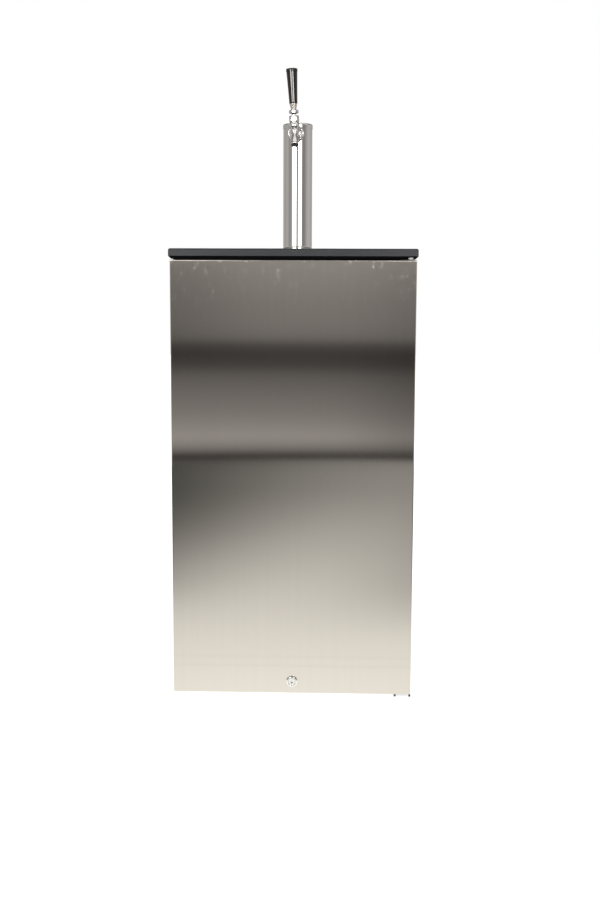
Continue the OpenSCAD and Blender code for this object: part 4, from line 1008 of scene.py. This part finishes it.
def surround_material(studio):
    """The round wall that only mirrored rays see.

    Below the lamps its tone goes by height in front of the door, over a skirting, and is even at the sides.
    Above, it goes by the angle round the tower, with soft lamps and the dark flags between them.
    """
    made = Finish("studio_surround", grey(0.0), 0.0, 1.0)
    place = made.node("ShaderNodeUVMap", uv_map="round").outputs["UV"]
    split = made.node("ShaderNodeSeparateXYZ", {"Vector": place}).outputs
    turn = split["X"]
    rise = split["Y"]
    upper = ramp_of(made, turn, [(degrees, tone / LAMP) for degrees, tone in UPPER_TONES], (-180, 180))
    lower = ramp_of(made, rise, LOWER_TONES, (0, studio.height))
    angle = made.times(made.sums("SUBTRACT", turn, 0.5), 360.0)
    height = made.times(rise, studio.height)
    wall = made.scaled(lower, flank_fade(made, angle, height))
    skirting = made.spread(height, *SKIRTING_TOP, 1.0, 0.0)
    ahead = made.blend(skirting, wall, made.spread(angle, *SKIRTING_TONES))
    beside = made.spread(made.sums("ABSOLUTE", angle), *SIDES, 0.0, 1.0)
    below = made.blend(beside, ahead, grey(SIDE_TONE))
    cores = made.sums("ADD", inside(made, angle, LEFT_CORE), inside(made, angle, RIGHT_CORE))
    lit = made.times(made.times(cores, HEAD_GAIN - 1.0), inside(made, height, LAMP_HEAD))
    lamps = made.scaled(upper, made.times(made.sums("ADD", lit, 1.0), LAMP))
    card = made.times(inside(made, angle, CARD_SPAN), inside(made, height, CARD_RISE))
    carded = made.blend(card, lamps, grey(CARD_TONE))
    above = made.spread(height, *LAMP_FOOT, 0.0, 1.0)
    made.shows(made.glow({"Color": made.tinted(made.blend(above, below, carded), WARMTH)}))
    return made.material


def mirrored_only(thing):
    """Links a stage piece that only mirrored rays see."""
    bpy.context.scene.collection.objects.link(thing)
    thing.visible_camera = False
    thing.visible_diffuse = False
    thing.visible_shadow = False
    thing.visible_transmission = False


def surround(studio):
    """A round wall: x = r sin(a), y = -r cos(a), z = h v, for a once round and v from 0 to 1."""
    turn = np.linspace(-np.pi, np.pi, 181)
    level = np.linspace(0, 1, 3)
    a, v = np.meshgrid(turn, level)
    points = np.stack([studio.radius * np.sin(a), -studio.radius * np.cos(a), studio.height * v], axis=-1)
    mesh = mesh_of("studio_surround", points, grid_faces(len(level), len(turn)))
    flat = np.stack([(a + np.pi) / (2 * np.pi), v], axis=-1).reshape(-1, 2)
    flat_map(mesh, "round", flat)
    mesh.materials.append(surround_material(studio))
    mirrored_only(bpy.data.objects.new("studio_surround", mesh))


def ceiling(studio):
    """A round ceiling on the wall: dim over the camera and behind the tower, a soft lamp between them."""
    made = Finish("studio_ceiling", grey(0.0), 0.0, 1.0)
    depth = made.axes()["Y"]
    front = made.spread(depth, *CEILING_FRONT, FRONT_TONE, studio.overhead)
    level = made.times(front, made.spread(depth, *CEILING_BACK, 1.0, BACK_TONE))
    made.shows(made.glow({"Color": opaque(WARMTH), "Strength": level}))
    ring, turn = np.meshgrid([0.0, studio.radius], np.linspace(0, 2 * np.pi, 73), indexing="ij")
    top = np.full(ring.shape, studio.height)
    points = np.stack([ring * np.cos(turn), ring * np.sin(turn), top], axis=-1)
    mesh = mesh_of("studio_ceiling", points, grid_faces(2, 73))
    mesh.materials.append(made.material)
    mirrored_only(bpy.data.objects.new("studio_ceiling", mesh))


def floor_material():
    """Pale floor, white to the camera, whose mirror image fades with the distance from the cabinet.

    A mirrored ray sees L / (1 + (d / h)^p) exp(-k (x - r)^2), with d the distance from the middle, and L, h
    and p the floor's level, half distance and power. The ridge r leans to the right with the distance. The
    fall to the sides, k, is 0 near the cabinet, 1.65 a step away and less towards the wall.
    """
    made = Finish("studio_floor", (0.82, 0.82, 0.81), 0.0, 0.9)
    split = made.axes()
    reach = made.node("ShaderNodeVectorMath", {0: made.place}, operation="LENGTH").outputs["Value"]
    far = made.sums("POWER", made.sums("DIVIDE", reach, FLOOR_HALF), FLOOR_POWER)
    even = made.sums("DIVIDE", FLOOR_LEVEL, made.sums("ADD", far, 1.0))
    fall = made.times(even, made.spread(reach, *FAR_GAIN))
    ahead = made.sums("ABSOLUTE", split["Y"])
    ridge = made.sums("SUBTRACT", made.times(ahead, RIDGE_LEAN), RIDGE_START)
    aside = made.sums("ABSOLUTE", made.sums("SUBTRACT", split["X"], ridge))
    narrow = made.times(made.spread(ahead, *SIDE_FALL), made.spread(ahead, *FAR_SIDE_FALL))
    side = made.times(made.sums("POWER", aside, 2.0), narrow)
    plain = made.times(fall, made.sums("EXPONENT", side))
    near, far_off = (inside(made, ahead, seam) for seam in SEAMS)
    seams = made.times(made.sums("ADD", near, far_off), SEAM_DEPTH)
    seen = made.times(plain, made.sums("ADD", seams, 1.0))
    rays = made.node("ShaderNodeLightPath").outputs
    to_eye = made.sums("MAXIMUM", rays["Is Camera Ray"], rays["Is Transmission Ray"])
    white = made.glow({"Strength": made.times(to_eye, FLOOR_GLOW)})
    lit = made.node("ShaderNodeAddShader", {0: made.shader.outputs["BSDF"], 1: white}).outputs["Shader"]
    mirrored = made.glow({"Color": opaque(FLOOR_TINT), "Strength": seen})
    choose = made.node("ShaderNodeMixShader", {"Fac": rays["Is Glossy Ray"], 1: lit, 2: mirrored})
    made.shows(choose.outputs["Shader"])
    return made.material


def floor():
    """A flat floor, wide enough to reach past the view on every side."""
    reach = np.linspace(-15, 15, 3)
    x, y = np.meshgrid(reach, reach)
    mesh = mesh_of("studio_floor", np.stack([x, y, 0 * x], axis=-1), grid_faces(3, 3))
    mesh.materials.append(floor_material())
    ground = bpy.data.objects.new("studio_floor", mesh)
    bpy.context.scene.collection.objects.link(ground)


def world_light(studio):
    """White to the eye and in mirrors, and an even ambient light on everything else."""
    world = bpy.data.worlds.new("studio_world")
    bpy.context.scene.world = world
    world.use_nodes = True
    made = Shading(world.node_tree)
    rays = made.node("ShaderNodeLightPath").outputs
    mirrored = made.sums("MAXIMUM", rays["Is Glossy Ray"], rays["Is Transmission Ray"])
    seen = made.sums("MAXIMUM", rays["Is Camera Ray"], mirrored)
    sky = world.node_tree.nodes["Background"].inputs
    made.put(sky["Color"], opaque(grey(1.0)))
    made.put(sky["Strength"], made.spread(seen, 0.0, 1.0, studio.ambient, 1.0))


def soft_lamp(name, degrees, studio):
    """An upright soft lamp on the surround, facing the tower, that mirrors do not show."""
    data = bpy.data.lights.new(name, "AREA")
    data.shape = "RECTANGLE"
    data.size, data.size_y = LAMP_SIZE
    data.energy = studio.lamp
    lamp = bpy.data.objects.new(name, data)
    bpy.context.scene.collection.objects.link(lamp)
    turn = math.radians(degrees)
    lamp.location = (studio.radius * math.sin(turn), -studio.radius * math.cos(turn), LAMP_LEVEL)
    lamp.rotation_euler = (math.radians(LAMP_TILT), 0.0, turn)
    lamp.visible_glossy = False


class KEG_OT_studio(bpy.types.Operator):
    """Floor, surround, soft lamps and the camera"""

    bl_idname = "keg_cooler.studio"
    bl_label = "Studio"

    def execute(self, context):
        studio = context.scene.keg_studio
        context.scene.view_settings.view_transform = "Standard"
        floor()
        surround(studio)
        ceiling(studio)
        world_light(studio)
        for name, degrees in SOFT_LAMPS.items():
            soft_lamp(name, degrees, studio)
        data = bpy.data.cameras.new("photo_camera")
        data.lens = studio.lens
        data.sensor_width = SENSOR_WIDTH
        camera = bpy.data.objects.new("photo_camera", data)
        context.scene.collection.objects.link(camera)
        turn = Matrix.Rotation(studio.yaw, 4, "Z")
        tilt = Matrix.Rotation(math.pi / 2 - studio.pitch, 4, "X")
        roll = Matrix.Rotation(studio.roll, 4, "Z")
        camera.matrix_world = Matrix.Translation(studio.eye) @ turn @ tilt @ roll
        context.scene.camera = camera
        return {"FINISHED"}


# Operators, one for each group of pieces


class KEG_OT_door(bpy.types.Operator):
    """Folded stainless door with its inner panel, gasket and hinge bushes"""

    bl_idname = "keg_cooler.door"
    bl_label = "Door"

    def execute(self, context):
        sizes = context.scene.keg_door
        case = context.scene.keg_case
        mesh = door_sheet("door_sheet", sizes)
        flat_map(mesh, DOOR_UV, corners_of(mesh)[:, [0, 2]])
        steel = door_steel("door_steel", context.scene.keg_finish)
        sheet = add_piece(mesh, steel, "door_skin")
        wall = sheet.modifiers.new("sheet", "SOLIDIFY")
        wall.thickness = sizes.sheet
        wall.offset = -1.0
        add_piece(gasket_bellows("door_gasket_bellows", sizes), finish_for("gasket"), "door_gasket")
        softened("door_liner", case.moulded_edge)
        softened("hinge_bushes", 0.3 * case.moulded_edge)
        dressed("door_foam")
        return {"FINISHED"}


# Faces of the plug between these depths behind its front, and inside this radius, belong to the keyhole and
# get its near-black painted shade
KEYWAY_START = 0.1 * MM
KEYWAY_END = 8 * MM
KEYWAY_RADIUS = 5 * MM


class KEG_OT_lock(bpy.types.Operator):
    """Key lock low on the door, with its nut, cam and keeper"""

    bl_idname = "keg_cooler.lock"
    bl_label = "Lock"

    def execute(self, context):
        edge = context.scene.keg_tower.edge
        for node in ("lock_barrel", "lock_nut", "lock_cam", "lock_keeper"):
            softened(node, edge)
        plug = softened("lock_plug", 0.5 * edge).data
        # The keyhole's faces take a second, near-black material: painted shade in the recess
        plug.materials.append(keyhole_painted_shade("keyhole_painted_shade", context.scene.keg_finish))
        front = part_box("lock_plug")[0].y
        across, _, up = JOINTS["lock_turn"]["pos_m"]
        for face in plug.polygons:
            deep = face.center.y - front
            aside = math.hypot(face.center.x - across, face.center.z - up)
            hidden = KEYWAY_START < deep < KEYWAY_END and aside < KEYWAY_RADIUS
            face.material_index = 1 if hidden else 0
        return {"FINISHED"}


class KEG_OT_tower(bpy.types.Operator):
    """Column, cap, base flange and the beer line inside"""

    bl_idname = "keg_cooler.tower"
    bl_label = "Tower"

    def execute(self, context):
        sizes = context.scene.keg_tower
        turned_piece("tower_column", column_profile(sizes), TOWER_AXIS, closed=True)
        turned_piece("tower_cap", cap_profile(sizes), TOWER_AXIS)
        for node in ("tower_flange", "tower_screws", "tower_gasket", "shank", "shank_nut", "beer_tube"):
            softened(node, 0.6 * sizes.edge)
        dressed("tower_insulation")
        return {"FINISHED"}


class KEG_OT_faucet(bpy.types.Operator):
    """Cast faucet body with its coupling, bonnet and valve"""

    bl_idname = "keg_cooler.faucet"
    bl_label = "Faucet"

    def execute(self, context):
        edge = context.scene.keg_tower.edge
        mesh = merged_copy("faucet_body", "faucet_cast")
        body = add_piece(mesh, finish_for("buffed_chrome"), "faucet_body")
        cast = body.modifiers.new("cast", "REMESH")
        cast.mode = "VOXEL"
        cast.voxel_size = 0.6 * MM
        cast.use_smooth_shade = True
        polish = body.modifiers.new("polish", "SMOOTH")
        polish.factor = 0.5
        polish.iterations = 10
        for node in ("shank_flange", "coupling_nut"):
            softened(node, 1.5 * edge, 3)
        softened("bonnet_nut", 1.5 * edge, 3, "buffed_chrome")
        for node in ("friction_washer", "plunger_shaft", "seat_washer"):
            softened(node, 0.4 * edge)
        return {"FINISHED"}


class KEG_OT_handle(bpy.types.Operator):
    """Lever, collar, ferrule and the black tap handle"""

    bl_idname = "keg_cooler.handle"
    bl_label = "Handle"

    def execute(self, context):
        sizes = context.scene.keg_tower
        turned_piece("tap_handle", handle_profile(context.scene.keg_handle), LEVER_AXIS)
        turned_piece("handle_ferrule", ferrule_profile(sizes), LEVER_AXIS)
        turned_piece("lever_collar", collar_profile(sizes), LEVER_AXIS, True, "buffed_chrome")
        softened("faucet_lever", 0.5 * sizes.edge)
        return {"FINISHED"}


# Faces of the worktop whose normals point further down than this get the underside's painted shade
UNDERSIDE = -0.2


class KEG_OT_worktop(bpy.types.Operator):
    """Dark worktop with the drip tray and its grille"""

    bl_idname = "keg_cooler.worktop"
    bl_label = "Worktop"

    def execute(self, context):
        case = context.scene.keg_case
        top = softened("countertop", case.worktop_edge, 3).data
        # Faces that point down take a near-black copy of the worktop: painted shade
        top.materials.append(underside_shade_finish("worktop_underside_shade", context.scene.keg_finish))
        for face in top.polygons:
            face.material_index = 1 if face.normal.z < UNDERSIDE else 0
        softened("drip_tray", 0.5 * case.sheet_edge)
        softened("drip_grille", 0.8 * case.sheet_edge)
        return {"FINISHED"}


class KEG_OT_case(bpy.types.Operator):
    """Painted case, base pan, hinges and levelling feet"""

    bl_idname = "keg_cooler.case"
    bl_label = "Case"

    def execute(self, context):
        case = context.scene.keg_case
        sheets = (
            "base_pan", "left_side_panel", "right_side_panel", "rear_panel", "kick_panel", "bay_ceiling",
            "face_frame", "upper_hinge_bracket", "lower_hinge_bracket", "hinge_screws",
        )
        for node in sheets:
            softened(node, case.sheet_edge)
        for node in ("front_left_foot", "front_right_foot", "rear_left_foot", "rear_right_foot"):
            softened(node, case.moulded_edge, 3)
        dressed("cabinet_foam")
        return {"FINISHED"}


class KEG_OT_cold_space(bpy.types.Operator):
    """Liner, keg deck, evaporator and thermostat"""

    bl_idname = "keg_cooler.cold_space"
    bl_label = "Cold space"

    def execute(self, context):
        case = context.scene.keg_case
        softened("inner_liner", case.moulded_edge)
        softened("deck_plate", case.sheet_edge)
        softened("evaporator_plate", 0.6 * case.sheet_edge)
        softened("thermostat_housing", 1.5 * case.moulded_edge, 3)
        softened("thermostat_knob", case.moulded_edge)
        return {"FINISHED"}


class KEG_OT_machine_bay(bpy.types.Operator):
    """Compressor with its box and grommets, condenser and cord gland"""

    bl_idname = "keg_cooler.machine_bay"
    bl_label = "Machine bay"

    def execute(self, context):
        case = context.scene.keg_case
        softened("compressor", case.sheet_edge)
        softened("relay_box", 2.0 * case.moulded_edge, 3)
        softened("compressor_grommets", case.moulded_edge)
        softened("cord_gland", case.moulded_edge)
        softened("condenser_brackets", case.sheet_edge)
        softened("condenser_tube", 0.4 * case.sheet_edge)
        softened("condenser_wires", 0.4 * case.sheet_edge)
        return {"FINISHED"}


class KEG_PT_sidebar(bpy.types.Panel):
    """Settings and steps of the keg cooler"""

    bl_idname = "KEG_PT_sidebar"
    bl_label = "Keg cooler"
    bl_space_type = "VIEW_3D"
    bl_region_type = "UI"
    bl_category = "Keg cooler"

    def draw(self, context):
        for group, kind in SETTINGS.items():
            section = self.layout.box()
            section.label(text=kind.__doc__)
            for name in kind.__annotations__:
                section.prop(getattr(context.scene, group), name)
        for step in STEPS:
            self.layout.operator(step.bl_idname)


STEPS = (
    KEG_OT_studio,
    KEG_OT_door,
    KEG_OT_lock,
    KEG_OT_tower,
    KEG_OT_faucet,
    KEG_OT_handle,
    KEG_OT_worktop,
    KEG_OT_case,
    KEG_OT_cold_space,
    KEG_OT_machine_bay,
)
CLASSES = (*SETTINGS.values(), *STEPS, KEG_PT_sidebar)


def register():
    """Registers the classes and gives the scene its settings."""
    for kind in CLASSES:
        bpy.utils.register_class(kind)
    for group, kind in SETTINGS.items():
        setattr(bpy.types.Scene, group, bpy.props.PointerProperty(type=kind))


def unregister():
    """Takes the settings and the classes away again."""
    for group in SETTINGS:
        delattr(bpy.types.Scene, group)
    for kind in reversed(CLASSES):
        bpy.utils.unregister_class(kind)


def main():
    """Builds every step in order."""
    register()
    bpy.ops.keg_cooler.studio()
    bpy.ops.keg_cooler.door()
    bpy.ops.keg_cooler.lock()
    bpy.ops.keg_cooler.tower()
    bpy.ops.keg_cooler.faucet()
    bpy.ops.keg_cooler.handle()
    bpy.ops.keg_cooler.worktop()
    bpy.ops.keg_cooler.case()
    bpy.ops.keg_cooler.cold_space()
    bpy.ops.keg_cooler.machine_bay()


if __name__ == "__main__":
    main()
